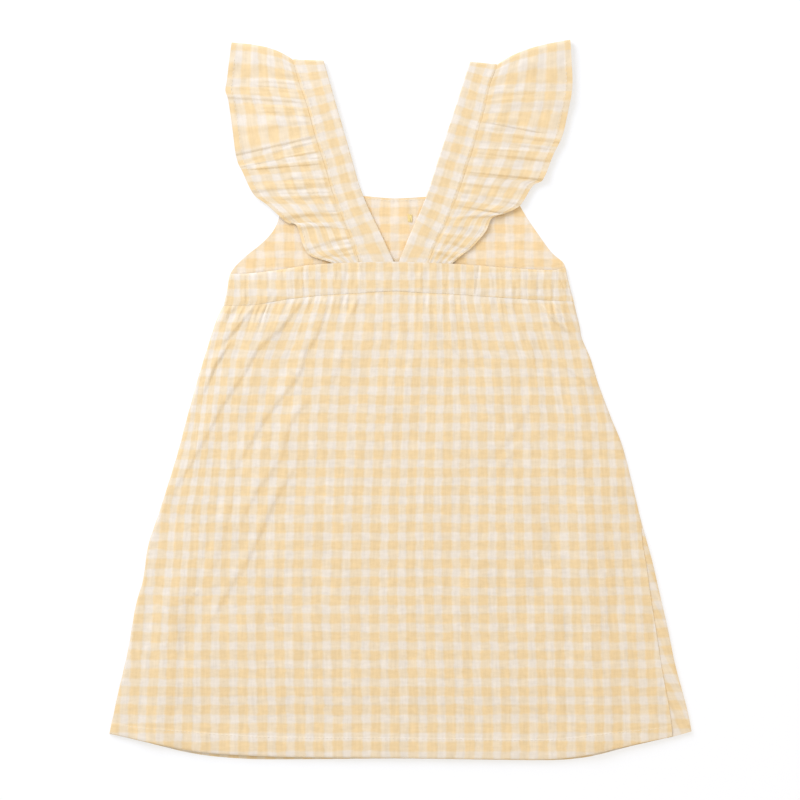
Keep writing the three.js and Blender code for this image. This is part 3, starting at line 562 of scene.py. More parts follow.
def gather_height(x_at_waist, down):
    """Short uneven gathers that run down from the waist seam."""
    draw = np.random.default_rng(5)
    height = np.zeros_like(down)
    place = -123.0
    while place < 121:
        calm = 0.55 if -24 < place < 12 else 1
        rise = draw.uniform(0.35, 1.05) * calm
        half_width = draw.uniform(1.3, 3.2)
        reach = draw.uniform(7, 38)
        drift = draw.uniform(-0.12, 0.12)
        share = np.abs(x_at_waist + drift * down - place) / (half_width * (1 + down.clip(0) / 30))
        bell = (1 - np.clip(share, 0, 1) ** 2) ** 1.6
        height = np.maximum(height, rise * bell * (1 - smoothstep(down, reach * 0.25, reach)))
        place += draw.uniform(2.8, 7.5) / calm
    return height


def back_skirt():
    def left_x(up):
        return left_side(up) + SEAM_EDGE

    def right_x(up):
        seam = right_side(up) - SIDE_INSET - right_wrap(up)
        return lerp(right_side(up) - SEAM_EDGE, seam + 0.1, strip_share(up))

    top_left = corner(left_x, band_bottom, BAND_BOTTOM[0][1])
    top_right = corner(right_x, band_bottom, BAND_BOTTOM[-1][1])
    hem_left = corner(left_x, hem_up, HEM[0][1])
    hem_right = corner(right_x, hem_up, HEM[-1][1])
    outline = panel(
        across_edge(left_x(top_left), right_x(top_right), band_bottom),
        across_edge(left_x(hem_left), right_x(hem_right), hem_up),
        down_edge(top_left, hem_left, left_x),
        down_edge(top_right, hem_right, right_x),
    )
    u = np.linspace(0, 1, 300)[None, :]
    down = np.sort(np.concatenate([
        [-WAIST_TUCK, -0.7, 0, 0.12],
        (SKIRT_LENGTH - HEM_LIP) * np.linspace(0, 1, 149)[1:] ** 1.15,
        SKIRT_LENGTH - HEM_DEPTH + np.array([-1.5, -0.9, 0, 0.7, 1.4]),
        SKIRT_LENGTH - HEM_LIP * np.array([0.72, 0.45, 0.2, 0]),
    ]))[:, None]
    near_hem = np.minimum((down - SKIRT_LENGTH + HEM_DEPTH + 60) / 60, (SKIRT_LENGTH - down) / HEM_DEPTH)
    lower = HEM_NARROWS * (1 - smoothstep(np.minimum(u, 1 - u), 0, 0.16)) * near_hem.clip(0, 1)
    x, up = outline(u, (down + lower) / SKIRT_LENGTH)
    down = down + 0 * x
    from_seam = np.minimum(x - x[:, :1], x[:, -1:] - x)
    air = AIR_RISE * smoothstep(from_seam, 0, 22) * smoothstep(down, 0, 18)
    gather = gather_height(x[3] + 0 * x, down) * smoothstep(from_seam, 0, 5) * smoothstep(down, -0.3, 3)
    folds = fold_height(x, up, SKIRT_FOLDS) * smoothstep(from_seam, 0, 8) * smoothstep(down, 0, 6)
    hem = HEM_RISE * smoothstep(down, SKIRT_LENGTH - HEM_DEPTH - 1, SKIRT_LENGTH - HEM_DEPTH)
    sag = HEM_SAG * np.exp(-((down - SKIRT_LENGTH + SAG_ABOVE_HEM) / 12) ** 2)
    on_strip = strip_share(up) * smoothstep(x, 0, 20)
    turn_down = 0.95 * (1 - on_strip) * (1 - rounded(from_seam, 1.8))
    side_seam = 0.3 * on_strip * np.exp(-from_seam / 1.4) - turn_down
    waves = soft_waves(x, up, 11, 46, 0.16) + soft_waves(x, up, 12, 15, 0.055)
    waves = waves * smoothstep(from_seam, 0, 15) * smoothstep(down, 0, 10)
    beside = x - CROSS_CREASE_X
    waves = waves + 0.55 * np.exp(-((up - CROSS_CREASE_UP - 0.2 * beside) / 1.7) ** 2 - (beside / 9) ** 2)
    z = 2 * WRAP_RADIUS + CLOTH + air + gather + folds + hem + waves + side_seam
    z = z - sag * smoothstep(from_seam, 4, 30)
    z = z + 0.25 * (1 - smoothstep(down, 1, 9)) * smoothstep(from_seam, 0, 5)
    z = z - 0.47 * (1 - smoothstep(down, 0, 0.12)) - 0.5 * smoothstep(-down, 0, 0.7)
    z = z - HEM_GROOVE * np.exp(-((down - SKIRT_LENGTH + HEM_DEPTH) / 0.9) ** 2)
    lip = np.clip((down - SKIRT_LENGTH + HEM_LIP) / HEM_LIP, 0, 1)
    z = lerp(z, 1.9 + 1.05 * on_strip * np.exp(-from_seam / 3), 1 - np.sqrt(1 - lip ** 2))
    stitched = int(np.argmin(np.abs(down[:, 0] - SKIRT_LENGTH + HEM_DEPTH)))
    hem_line = np.stack([x[stitched], up[stitched], z[stitched]], -1)[5:-5]
    check = (check_across(x, up), CHECK_ROW_UP - up)
    return make_cloth("back_skirt_cloth", x, up, z, check, thickness=BACK_SHELL), hem_line


back_skirt_cloth, hem_line = back_skirt()
back_skirt_cloth.data.materials.append(cloth_finish)
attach(back_skirt_cloth, "root")
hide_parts("back_skirt")

THREAD = 0.15
STITCH = 2.3
STITCH_GAP = 0.7


def sew(name, line, finish):
    """A row of thread stitches along a line of points. Each dips into the cloth at both ends."""
    step = np.linalg.norm(np.diff(line, axis=0), axis=1)
    along = np.concatenate([[0], step.cumsum()])
    starts = np.arange(0.5, along[-1] - STITCH, STITCH + STITCH_GAP)
    share = np.linspace(0, 1, 5)
    at = starts[:, None] + share * STITCH
    middle = np.stack([np.interp(at, along, line[:, i]) for i in range(3)], -1)
    middle[..., 2] += THREAD * (1.2 * np.sin(np.pi * share) - 0.5)
    forward = middle[:, -1] - middle[:, 0]
    forward = forward / np.linalg.norm(forward, axis=-1, keepdims=True)
    sideways = np.cross(forward, [0, 0, 1])
    turn = np.linspace(0, 2 * np.pi, 6, endpoint=False)
    ring = (
        sideways[:, None, None] * np.cos(turn)[:, None]
        + np.array([0, 0, 1]) * np.sin(turn)[:, None]
    )
    thick = THREAD * np.array([0.5, 0.9, 1, 0.9, 0.5])
    points = middle[:, :, None] + ring * thick[:, None, None]
    faces = []
    for stitch in range(len(starts)):
        first = stitch * 30
        for r in range(4):
            for k in range(6):
                a = first + r * 6 + k
                b = first + r * 6 + (k + 1) % 6
                faces.append((a, a + 6, b + 6, b))
        faces.append(tuple(range(first, first + 6)))
        faces.append(tuple(range(first + 29, first + 23, -1)))
    points = points.reshape(-1, 3)
    points[:, 1] -= LENGTH / 2
    mesh = bpy.data.meshes.new(name)
    mesh.from_pydata((points * MM).tolist(), [], faces)
    mesh.shade_smooth()
    piece = bpy.data.objects.new(name, mesh)
    bpy.context.scene.collection.objects.link(piece)
    piece.data.materials.append(finish)
    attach(piece, "root")


def sewing_thread(name, colour):
    """Spun thread, a little uneven in colour and fuzzy on its surface."""
    material = bpy.data.materials.new(name)
    material.use_nodes = True
    nodes = material.node_tree.nodes
    links = material.node_tree.links
    shader = nodes["Principled BSDF"]
    shader.inputs["Roughness"].default_value = 0.7
    shader.inputs["Specular IOR Level"].default_value = 0.25
    place = nodes.new("ShaderNodeTexCoord")
    fibres = nodes.new("ShaderNodeTexNoise")
    fibres.inputs["Scale"].default_value = 2500
    fibres.inputs["Detail"].default_value = 2
    links.new(place.outputs["Object"], fibres.inputs["Vector"])
    tint = nodes.new("ShaderNodeValToRGB")
    tint.color_ramp.elements[0].color = [part * 0.82 for part in colour] + [1]
    tint.color_ramp.elements[1].color = [min(part * 1.1, 1) for part in colour] + [1]
    links.new(fibres.outputs["Fac"], tint.inputs[0])
    links.new(tint.outputs[0], shader.inputs["Base Color"])
    bump = nodes.new("ShaderNodeBump")
    bump.inputs["Strength"].default_value = 0.4
    bump.inputs["Distance"].default_value = 0.1 * MM
    links.new(fibres.outputs["Fac"], bump.inputs["Height"])
    links.new(bump.outputs[0], shader.inputs["Normal"])
    return material


cream_thread = sewing_thread("cream_thread", (0.86, 0.78, 0.66))
sew("hem_stitches", hem_line, cream_thread)
sew("neckline_stitches", neckline_line, cream_thread)

# Back waistband: a casing of the same cloth over elastic, ruched on both sides of its flat middle.
# It lies on the front bodice, and is sewn to the back skirt below it and to the straps above.

BAND_HEIGHT = 3.2
BAND_END_HEIGHT = 2.6
TOP_RIM = 1.75
TOP_RIM_OVER_STRAPS = 3.05
BOTTOM_RIM = 2.8
END_RIM = 1.65
BAND_CHECK_UP = 354.5
BAND_PITCH_DOWN = 12
BAND_TOP = [
    (-122, 350), (-107.5, 350.4), (-85, 353.2), (-66.5, 356.2), (-47, 357.5), (-27.5, 358.2),
    (-4.5, 358.6), (38, 357.1), (56, 356.1), (79, 354.2), (110, 352.8), (118.5, 354.6),
]
band_top = smooth_line(BAND_TOP)
BAND_CREASES = [
    # x at the upper end, x at the lower end, up from, up to, depth
    (-110.4, -110.4, 331, 348.5, 0.8), (-102.9, -102.9, 344, 351, 0.5), (-94.6, -94.6, 340, 353, 0.7),
    (-84.5, -84.5, 349, 358, 0.7), (-78, -76.5, 331, 351, 1.2), (-69.8, -69, 331, 354, 1),
    (-50.7, -50.7, 353, 359, 0.5), (-45.6, -45.6, 344, 356, 0.7), (-39.1, -39.1, 338, 349, 0.8),
    (-31, -32, 332, 339, 0.8), (28.5, 28.5, 351, 358, 0.5), (33.9, 33.9, 337, 349, 0.8),
    (40.8, 40.8, 345, 353, 0.5), (56.6, 53.7, 334, 356, 1.3), (65.3, 67.4, 342, 354, 0.7),
    (76.8, 76.8, 345, 353, 0.5), (83.3, 83.3, 331, 349, 0.7), (91.2, 91.2, 332, 351, 0.8),
    (99.1, 99.1, 338, 351, 1), (104.2, 104.2, 338, 349, 0.7), (110.3, 110.3, 332, 349, 1.1),
    (112.8, 120, 335, 351, 1.2), (117.1, 122.1, 331, 354, 1.2),
]
CASING_SEAM_X = 14.5


def band_crease_depth(x, up):
    """How deep the ruched band is pinched in."""
    depth = np.zeros_like(x)
    for upper_x, lower_x, low, high, deep in BAND_CREASES:
        share = np.clip((up - low) / (high - low), 0, 1)
        off = np.abs(x - lerp(lower_x, upper_x, share))
        ends = smoothstep(up, low - 4, low + 2) * (1 - smoothstep(up, high - 2, high + 4))
        depth = np.maximum(depth, deep * ends * np.clip(1 - off / 2, 0, 1) ** 1.5)
    return depth


def back_waistband():
    outline = panel(
        across_edge(BAND_TOP[0][0], BAND_TOP[-1][0], band_top),
        across_edge(BAND_BOTTOM[0][0], BAND_BOTTOM[-1][0], band_bottom),
        down_edge(BAND_TOP[0][1], BAND_BOTTOM[0][1], left_armhole),
        down_edge(BAND_TOP[-1][1], BAND_BOTTOM[-1][1], right_armhole),
    )
    u = np.linspace(0, 1, 420)[None, :]
    v = np.linspace(0, 1, 36)[:, None]
    x, up = outline(u, v)
    from_top = band_top(x) - up
    from_bottom = up - band_bottom(x)
    from_end = np.minimum(x - x[:, :1], x[:, -1:] - x)
    ends = smoothstep(from_end, 0, 14)
    ridges = ruche(u + 0.0025 * np.sin(up * 0.3 + x * 0.2))
    body = lerp(BAND_END_HEIGHT, BAND_HEIGHT, ends) + 0.3 * ends * ridges - 0.6 * band_crease_depth(x, up)
    body = body + soft_waves(x, up, 31, 8, 0.07, stretch=2) * ends
    body = body + 0.5 * np.clip(1 - np.abs(x - CASING_SEAM_X) / 1.5, 0, 1)
    over_straps = smoothstep(x, -62, -54) * (1 - smoothstep(x, 40, 48))
    top_rim = lerp(TOP_RIM, TOP_RIM_OVER_STRAPS, over_straps)
    flat_middle = smoothstep(x, -27, -22) * (1 - smoothstep(x, 12, 15))
    soft_rim = 1 - (1 - np.clip(from_bottom / 5, 0, 1)) ** 2
    rim_curve = lerp(soft_rim, rounded(from_bottom, 2.2), flat_middle)
    pucker = np.sin(x * 1.15 + 2.2 * np.sin(x * 0.17) + 0.12 * up) * np.sin(x * 0.31 + 1)
    at_seam = np.exp(-from_bottom / 4) + 0.7 * np.exp(-from_top / 4)
    body = body + 0.32 * (1 - flat_middle) * ends * np.clip(pucker, -0.4, 1) * (0.35 + at_seam)
    z = lerp(BOTTOM_RIM, body, rim_curve)
    z = np.minimum(z, lerp(top_rim, body, rounded(from_top, 4)))
    z = lerp(END_RIM, z, rounded(from_end + 0.02, 1.5))
    columns_up = np.minimum(up, CHECK_COLUMNS[-1][0])
    check = (check_across(x, columns_up), (BAND_CHECK_UP - up) * CHECK_PITCH_DOWN / BAND_PITCH_DOWN)
    return make_cloth("waistband_cloth", x, up, z, check, thickness=BACK_SHELL)


waistband_cloth = back_waistband()
waistband_cloth.data.materials.append(cloth_finish)
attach(waistband_cloth, "root")
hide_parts("back_waistband")

# Straps: straight strips of the same cloth, turned double, from the waistband's V over the
# shoulder and down to the front neckline. A line of stitching runs along the seam to the ruffle.

STRAP_CLOTH = 1.5
STRAP_WIDTH = 20.5
LEFT_STRAP_BACK = [
    # seam x and up, inner edge x and up, height of the strap's middle
    (-77.3, 503.3, -55, 502.6, 3.2),
    (-72.3, 486, -51.2, 489.5, 3.7),
    (-67.2, 471.6, -47.7, 477, 3.9),
    (-60.7, 447.8, -40.9, 453.5, 3.7),
    (-54.3, 428.4, -35.3, 434, 3),
    (-48.5, 408.2, -29.3, 413, 2.3),
    (-41.3, 389.5, -22.6, 396.5, 2.15),
    (-35.5, 375.8, -15.2, 381.5, 2.15),
    (-29.5, 358.7, -4.6, 359.1, 2.05),
    (-28.8, 356.8, -4, 357.3, 1.95),
]
RIGHT_STRAP_BACK = [
    (69.6, 499.7, 50.1, 501.8, 3.2),
    (64.5, 486, 46.7, 491.4, 3.7),
    (59.5, 464.4, 39.9, 470.4, 3.9),
    (51.6, 437.8, 31.1, 443.4, 3.4),
    (46.5, 422.6, 26.2, 428.4, 2.8),
    (40.8, 405.4, 20.8, 411.6, 2.3),
    (34.3, 388.8, 15.3, 397.3, 2.15),
    (27.1, 374.4, 9, 383, 2.15),
    (19.9, 358.5, -1, 359, 2.05),
    (19.2, 356.6, -0.6, 357.2, 1.95),
]
LEFT_FRONT = [
    # seam x and up, ruffle edge x and up, strap's inner edge x
    (-77.3, 503.3, -121.2, 516, -55),
    (-79, 480, -120.5, 484, -57.8),
    (-80.6, 460, -117, 460, -60),
    (-82, 440, -112, 440, -61.5),
    (-83.2, 422, -102, 424, -62.7),
    (-84, 406.8, -91, 408.5, -63.5),
]
RIGHT_FRONT = [
    (69.6, 499.7, 122.1, 518, 50.1),
    (73.5, 480, 119.5, 484, 53.8),
    (76.5, 460, 114.5, 460, 56.5),
    (79.5, 440, 106.5, 441, 59.2),
    (82, 422, 97.5, 424, 61.6),
    (84, 406.8, 89.5, 408.5, 63.5),
]


def stretch(rows):
    """One stretch of a strip: x and up at a distance down its seam and a share of its width."""
    seam = np.array([row[:2] for row in rows], float)
    down = np.concatenate([[0], np.hypot(*np.diff(seam, axis=0).T).cumsum()])
    lines = [smooth_line([(d, row[i]) for d, row in zip(down, rows)]) for i in range(4)]

    def at(s, w):
        x = lerp(lines[0](s), lines[2](s), w)
        up = lerp(lines[1](s), lines[3](s), w)
        return x, up

    return at, down


def over_shoulder(back, front, back_level, front_level, w, back_steps, front_steps):
    """The middle of a folded strip, in rows from its lower end at the back, over the fold and down
    the front, with the direction that its face looks in and the distance down each stretch."""
    back_at, back_down = back
    front_at, front_down = front
    radius = (back_level(np.zeros_like(w), w) - front_level(np.zeros_like(w), w)) / 2
    rows = []
    for s in np.linspace(back_down[-1], 4, back_steps):
        x, up = back_at(s, w)
        rows.append((x, up, back_level(s, w), s * np.ones_like(w)))
    for angle in np.radians(np.linspace(90, -90, 13)):
        half_at = back_at if angle > 0 else front_at
        s = radius * (1 - math.cos(angle))
        x, up = half_at(s, w)
        z = front_level(np.zeros_like(w), w) + radius * (1 + math.sin(angle))
        rows.append((x, up, z, radius * (angle - math.pi / 2)))
    for s in np.linspace(4, front_down[-1], front_steps):
        x, up = front_at(s, w)
        rows.append((x, up, front_level(s, w), (-s - 6) * np.ones_like(w)))
    x, up, z, down = (np.array([row[i] for row in rows]) for i in range(4))
    points = np.stack([x, up, z], -1)
    out = np.cross(np.gradient(points, axis=0), np.gradient(points, axis=1))
    out = out / np.linalg.norm(out, axis=-1, keepdims=True)
    if out[0, 0, 2] < 0:
        out = -out
    return points, out, down


def strap(name, back_rows, front_rows, flip):
    """A strip folded double along the strap's inner edge, open at the seam to the ruffle."""
    front = [
        (row[0], row[1], row[4], back_rows[0][3] if i == 0 else row[1])
        for i, row in enumerate(front_rows)
    ]
    back_stretch = stretch(back_rows)
    lift = smooth_line([(d, row[4]) for d, row in zip(back_stretch[1], back_rows)])
    w = np.array([0, 0.4, 0.9, 1.5, 2.2, 2.9, 3.6, 4.3, 6.5, 9, 12, 15, 17.5, STRAP_WIDTH - STRAP_CLOTH / 2])
    w = w / STRAP_WIDTH
    middle, out, down = over_shoulder(
        back_stretch,
        stretch(front),
        lambda s, w: lift(s) + 0 * w,
        lambda s, w: STRAP_CLOTH / 2 + 0 * w,
        w, 110, 50,
    )
    on_top = smoothstep(middle[..., 2], 1.3, 2) * smoothstep(middle[..., 1], 358, 374)
    ridge = 0.22 * (1 - smoothstep(w * STRAP_WIDTH, 2.2, 4.2)) * on_top
    lip = 0.24 * (1 - smoothstep(w * STRAP_WIDTH, 0, 1.6)) * on_top
    half = (STRAP_CLOTH / 2 + ridge - lip)[..., None]
    inward = middle[:, -1] - middle[:, 0]
    inward = inward / np.linalg.norm(inward, axis=-1, keepdims=True)
    turned = [
        middle[:, -1] + STRAP_CLOTH / 2 * (inward * math.sin(angle) - out[:, -1] * math.cos(angle))
        for angle in np.radians([30, 60, 90, 120, 150])
    ]
    points = np.concatenate([
        middle - out * half,
        np.stack(turned, 1),
        (middle + out * half)[:, ::-1],
    ], 1)
    around = np.concatenate([2 - w, [1, 1, 1, 1, 1], w[::-1]]) * STRAP_WIDTH
    check = (around - 0.55 * STRAP_WIDTH, np.concatenate([down, down[:, :5], down[:, ::-1]], 1))
    piece = make_cloth(name, points[..., 0], points[..., 1], points[..., 2], check, BACK_SHELL, flip)
    return piece, (middle + out * half)[2:108, 4]


for side, back_rows, front_rows in (
    ("left", LEFT_STRAP_BACK, LEFT_FRONT),
    ("right", RIGHT_STRAP_BACK, RIGHT_FRONT),
):
    strap_cloth, seam_line = strap(f"strap_{side}_cloth", back_rows, front_rows, side == "right")
    strap_cloth.data.materials.append(cloth_finish)
    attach(strap_cloth, "root")
    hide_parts(f"strap_{side}")
    sew(f"strap_{side}_stitches", seam_line, cream_thread)

# Ruffles: one gathered strip of the same cloth along each strap's outer edge, sewn in between the
# strap's two layers and folded over at the shoulder. Its free edge has a narrow stitched hem.

CROWN_RISE = 3.8
CROWN_LENGTH = 14
RUFFLE_HEM = 0.92
RUFFLE_CLOTH = 54
FRONT_WAVE_RISE = 1.1
FRONT_WAVE_PITCH = 15
LEFT_RUFFLE_BACK = [
    # seam x and up, free edge x and up, height of the free edge between its waves
    (-77.3, 503.3, -121.2, 516, 4.4), (-75, 495, -122.8, 503, 4.4), (-72.3, 486, -124.5, 489, 4.2),
    (-69.5, 478, -125.6, 481.5, 4), (-67.2, 471.6, -123.8, 475.5, 3.6), (-63.4, 457.2, -121, 457, 3.4),
    (-60.7, 447.8, -118, 434.5, 3.3), (-54.3, 428.4, -113.3, 423, 3.2), (-48.5, 408.2, -105, 406.5, 3),
    (-44.9, 399, -96, 399.6, 2.7), (-41.3, 389.5, -82, 387.2, 2.2), (-38.2, 382, -74.6, 384.6, 2),
    (-35.5, 375.8, -70.2, 371, 2.1), (-32.7, 368.2, -64.5, 363, 2), (-29.9, 358.7, -50, 358.1, 2),
    (-29.2, 356.8, -49.5, 356.2, 1.95),
]
RIGHT_RUFFLE_BACK = [
    (69.6, 499.7, 122.1, 518, 4.6), (67, 492.5, 122.9, 503, 4.6), (64.5, 486, 123.6, 489, 4.4),
    (61.8, 474.5, 122.8, 478, 4), (59.5, 464.4, 120.2, 465, 3.7), (57.3, 457.4, 117, 450.7, 3.5),
    (51.6, 437.8, 109.5, 434.5, 3.3), (46.5, 422.6, 102, 417, 3.3), (45.1, 418, 95.6, 413.5, 3.2),
    (40.8, 405.4, 86, 399, 3), (37.3, 396.4, 76, 393.6, 2.7), (34.3, 388.8, 66, 390, 2.4),
    (31, 382, 61.5, 380.5, 2.2), (27.1, 374.4, 52, 369.4, 2.1), (23.5, 366, 45, 364, 2),
    (20.3, 358.5, 37.5, 357.5, 2), (19.6, 356.6, 37, 355.6, 1.95),
]
LEFT_RUFFLE_FOLDS = [
    # down the seam, down the free edge, rise, run-out uphill, run-out downhill, share of the width
    # where it starts and ends, from the seam
    (12, 10, 0.6, 7, 4, 0, 1), (22, 20, 0.6, 6, 2, 0, 0.45), (31.5, 31.5, 0.75, 9, 2, 0, 1),
    (39, 41, 0.7, 5, 1.6, 0, 0.5), (46, 51, 0.8, 7, 2.4, 0, 0.8), (57, 57, 0.85, 8, 0.9, 0, 1),
    (67, 67, 0.3, 4, 2, 0, 0.4), (67, 70, 0.3, 4, 2.5, 0.6, 1), (77.4, 76, 0.8, 8, 0.9, 0, 0.75),
    (85, 88, 0.6, 4, 2.5, 0, 0.4), (92, 95, 0.8, 6, 3, 0, 1), (101, 104, 0.6, 4, 2.5, 0, 0.6),
    (112, 116, 1.3, 7, 2.4, 0, 1), (124, 128, 1.1, 6, 2.2, 0, 1), (132, 137, 0.6, 5, 2, 0.1, 1),
    (141, 145, 0.5, 4, 2, 0, 0.8),
]
RIGHT_RUFFLE_FOLDS = [
    (8, 6, 0.9, 4, 3, 0, 0.5), (22, 24, 0.8, 6, 3, 0, 0.4), (30, 30, 0.9, 8, 4, 0.3, 1),
    (42, 46, 1.5, 8, 1.1, 0, 0.6), (48, 50, 0.8, 5, 3, 0.5, 1), (54, 58, 0.6, 5, 2.4, 0.3, 1),
    (64.5, 67.5, 1.1, 7, 2, 0, 0.9), (73, 73, 0.5, 3.5, 2, 0, 0.5), (79.5, 79.5, 1.5, 8, 1.1, 0, 1),
    (88, 89, 0.6, 4, 2, 0, 0.5), (94, 97, 0.8, 5, 2.2, 0, 1), (104, 108, 1.3, 7, 1.8, 0, 0.8),
    (112, 113, 1.2, 5, 4, 0.5, 1), (119, 124, 0.9, 5, 3, 0, 1), (130, 134, 1, 6, 2.4, 0, 0.8),
    (141, 144, 0.8, 4, 2.4, 0, 1),
]


def ruffle(name, back_rows, front_rows, strap_rows, folds, seed, flip):
    """A gathered strip. Its root lies between the two layers of the strap."""
    def crowned(at):
        def bowed(s, w):
            x, up = at(s, w)
            over = np.clip(w, 0, 1)
            return x, up + CROWN_RISE * np.sin(np.pi * over ** 0.75) * np.exp(-s / CROWN_LENGTH)
        return bowed

    back_at, back_down = stretch(back_rows)
    front_at, front_down = stretch([row[:4] for row in front_rows])
    rest = smooth_line([(d, row[4]) for d, row in zip(back_down, back_rows)])
    strap_down = stretch(strap_rows)[1]
    lift = smooth_line([(d, row[4]) for d, row in zip(strap_down, strap_rows)])
    draw = np.random.default_rng(seed)
    gathers = []
    place = 5.0
    while place < back_down[-1] - 4:
        gathers.append((place, draw.uniform(0.15, 0.45), draw.uniform(1.4, 3), draw.uniform(0.2, 1)))
        place += draw.uniform(3, 7.5)

    def back_level(s, w):
        out_of_strap = smoothstep(w, 0.005, 0.07)
        waves = 0 * w
        for seam, edge, rise, above, below, first, last in folds:
            off = s - lerp(seam, edge, w)
            share = np.clip(np.abs(off) / np.where(off < 0, above, below), 0, 1)
            within = smoothstep(w, first - 0.25, first) * (1 - smoothstep(w, last, last + 0.25))
            waves = np.maximum(waves, rise * within * (1 - share ** 2) ** 2)
        small = 0 * w
        for seam, rise, half_width, reach in gathers:
            share = np.clip(np.abs(s - seam) / half_width, 0, 1)
            small = np.maximum(small, rise * (1 - share ** 2) ** 2 * (1 - smoothstep(w, reach / 3, reach)))
        level = lerp(lift(s), rest(s), smoothstep(w, 0, 0.6))
        level = level + 0.5 * smoothstep(w, -0.003, 0.007) * (1 - smoothstep(w, 0.15, 0.6))
        folded = waves * (0.25 + 0.75 * w.clip(0) ** 0.6) + small
        level = level + smoothstep(s, 0, 5) * out_of_strap * folded
        low = soft_waves(w * 50, s + 0 * w, seed, 16, 0.09, stretch=0.7) * smoothstep(s, 0, 8) * out_of_strap
        rolled = 0.22 * smoothstep(w, RUFFLE_HEM - 0.015, RUFFLE_HEM)
        return level + low + rolled

    def front_level(s, w):
        wave = 0.5 - 0.5 * np.cos(2 * np.pi * s / FRONT_WAVE_PITCH)
        return CLOTH / 2 + FRONT_WAVE_RISE * wave * w.clip(0) * smoothstep(s, 0, 8)

    w = np.concatenate([[-0.035, -0.012, -0.004, 0, 0.003, 0.007, 0.015], np.linspace(0.026, 1, 54)])
    middle, out, down = over_shoulder(
        (crowned(back_at), back_down), (crowned(front_at), front_down),
        back_level, front_level, w, 330, 100,
    )
    points = middle + out * SHELL / 2
    check = (w[None, :] * RUFFLE_CLOTH, down)
    piece = make_cloth(name, points[..., 0], points[..., 1], points[..., 2], check, SHELL, flip)
    hemmed = int(np.argmin(np.abs(w - RUFFLE_HEM)))
    return piece, points[2:325, hemmed]


for side, back_rows, front_rows, strap_rows, folds in (
    ("left", LEFT_RUFFLE_BACK, LEFT_FRONT, LEFT_STRAP_BACK, LEFT_RUFFLE_FOLDS),
    ("right", RIGHT_RUFFLE_BACK, RIGHT_FRONT, RIGHT_STRAP_BACK, RIGHT_RUFFLE_FOLDS),
):
    seed = 21 if side == "left" else 22
    ruffle_cloth, ruffle_hem_line = ruffle(
        f"ruffle_{side}_cloth", back_rows, front_rows, strap_rows, folds, seed, side == "right",
    )
    ruffle_cloth.data.materials.append(cloth_finish)
    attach(ruffle_cloth, "root")
    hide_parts(f"ruffle_{side}")
    sew(f"ruffle_{side}_stitches", ruffle_hem_line, cream_thread)

# Thread tack: a few turns of deep yellow thread, sewn low into the inside of the front between the
# straps.

TACK_X = 6.9
TACK_UP = 389.9
TACK_LENGTH = 5
TACK_WIDTH = 2.8
TACK_THREAD = 0.24
yellow_thread = sewing_thread("yellow_thread", (0.95, 0.74, 0.34))
draw = np.random.default_rng(41)
for number, place in enumerate(np.linspace(-0.5, 0.5, 8)):
    share = np.linspace(0, 1, 9)
    lean = draw.uniform(-0.5, 0.5)
    strand = np.stack([
        TACK_X + TACK_WIDTH * place + lean * (share - 0.5),
        TACK_UP + TACK_LENGTH * (0.5 - share) + draw.uniform(-0.5, 0.5),
        CLOTH + 0.02 + 0.18 * np.sin(np.pi * share) + draw.uniform(0, 0.06),
    ], -1)
    curve = bpy.data.curves.new(f"thread_tack_{number}", "CURVE")
    curve.dimensions = "3D"
    curve.bevel_depth = TACK_THREAD * MM
    curve.bevel_resolution = 2
    curve.use_fill_caps = True
    spline = curve.splines.new("POLY")
    spline.points.add(len(strand) - 1)
    for point, (x, up, z) in zip(spline.points, strand):
        point.co = (x * MM, (up - LENGTH / 2) * MM, z * MM, 1)
    turn_of_thread = bpy.data.objects.new(f"thread_tack_{number}", curve)
    bpy.context.scene.collection.objects.link(turn_of_thread)
    curve.materials.append(yellow_thread)
    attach(turn_of_thread, "root")

# Floor: a plain white surface, with soft cool light from the upper left and a warm card low on the
# right, so that the creases stay warm.

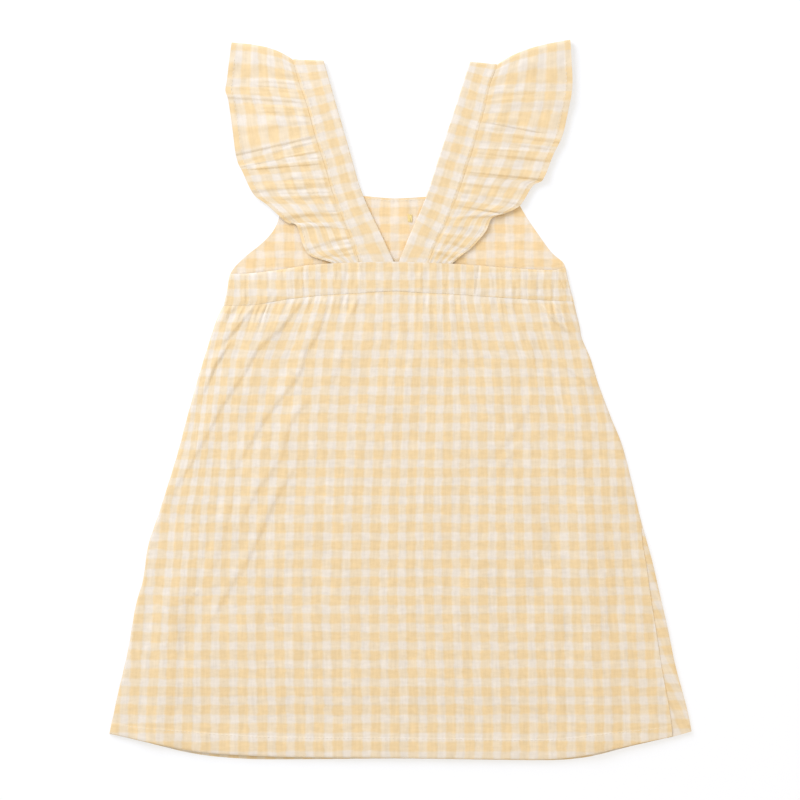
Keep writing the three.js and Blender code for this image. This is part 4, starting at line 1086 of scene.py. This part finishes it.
bpy.ops.mesh.primitive_plane_add(size=40)
floor = bpy.context.object
floor.name = "floor"
floor_finish = bpy.data.materials.new("floor")
floor_finish.use_nodes = True
floor_shader = floor_finish.node_tree.nodes["Principled BSDF"]
floor_shader.inputs["Base Color"].default_value = (0.47, 0.48, 0.505, 1)
floor_shader.inputs["Roughness"].default_value = 0.9
floor_shader.inputs["Emission Color"].default_value = (1, 1, 1, 1)
floor_shader.inputs["Emission Strength"].default_value = 0.508
floor.data.materials.append(floor_finish)

world = bpy.data.worlds.new("studio")
world.use_nodes = True
world.node_tree.nodes["Background"].inputs["Color"].default_value = (1.04, 1, 0.93, 1)
world.node_tree.nodes["Background"].inputs["Strength"].default_value = 0.775
bpy.context.scene.world = world

window = bpy.data.lights.new("window", "AREA")
window.shape = "DISK"
window.size = 1.2
window.energy = 21.4
window.color = (0.87, 0.96, 1.16)
window_light = bpy.data.objects.new("window", window)
window_light.location = (-1, 1.2, 1)
window_light.rotation_euler = (-window_light.location).to_track_quat("-Z", "Y").to_euler()
bpy.context.scene.collection.objects.link(window_light)

card = bpy.data.lights.new("warm_card", "AREA")
card.shape = "RECTANGLE"
card.size = 1.2
card.size_y = 0.3
card.energy = 3
card.color = (1, 0.7, 0.35)
card_light = bpy.data.objects.new("warm_card", card)
card_light.location = (1.1, -0.8, 0.22)
card_light.rotation_euler = (-card_light.location).to_track_quat("-Z", "Y").to_euler()
bpy.context.scene.collection.objects.link(card_light)

# Camera: straight above through a long lens, as in the photograph, whose 800 pixels span 576 mm.
# The dress lies a little off the middle of the picture.

PHOTO_PIXELS = 800
PIXEL = 0.72
LENS = 100
SENSOR = 36
CAMERA_X = -0.25
CAMERA_Y = -0.05
camera_data = bpy.data.cameras.new("camera")
camera_data.lens = LENS
camera_data.sensor_width = SENSOR
camera = bpy.data.objects.new("camera", camera_data)
camera.location = (CAMERA_X * MM, CAMERA_Y * MM, PHOTO_PIXELS * PIXEL * MM * LENS / SENSOR)
bpy.context.scene.collection.objects.link(camera)
bpy.context.scene.camera = camera
bpy.context.scene.view_settings.view_transform = "Standard"
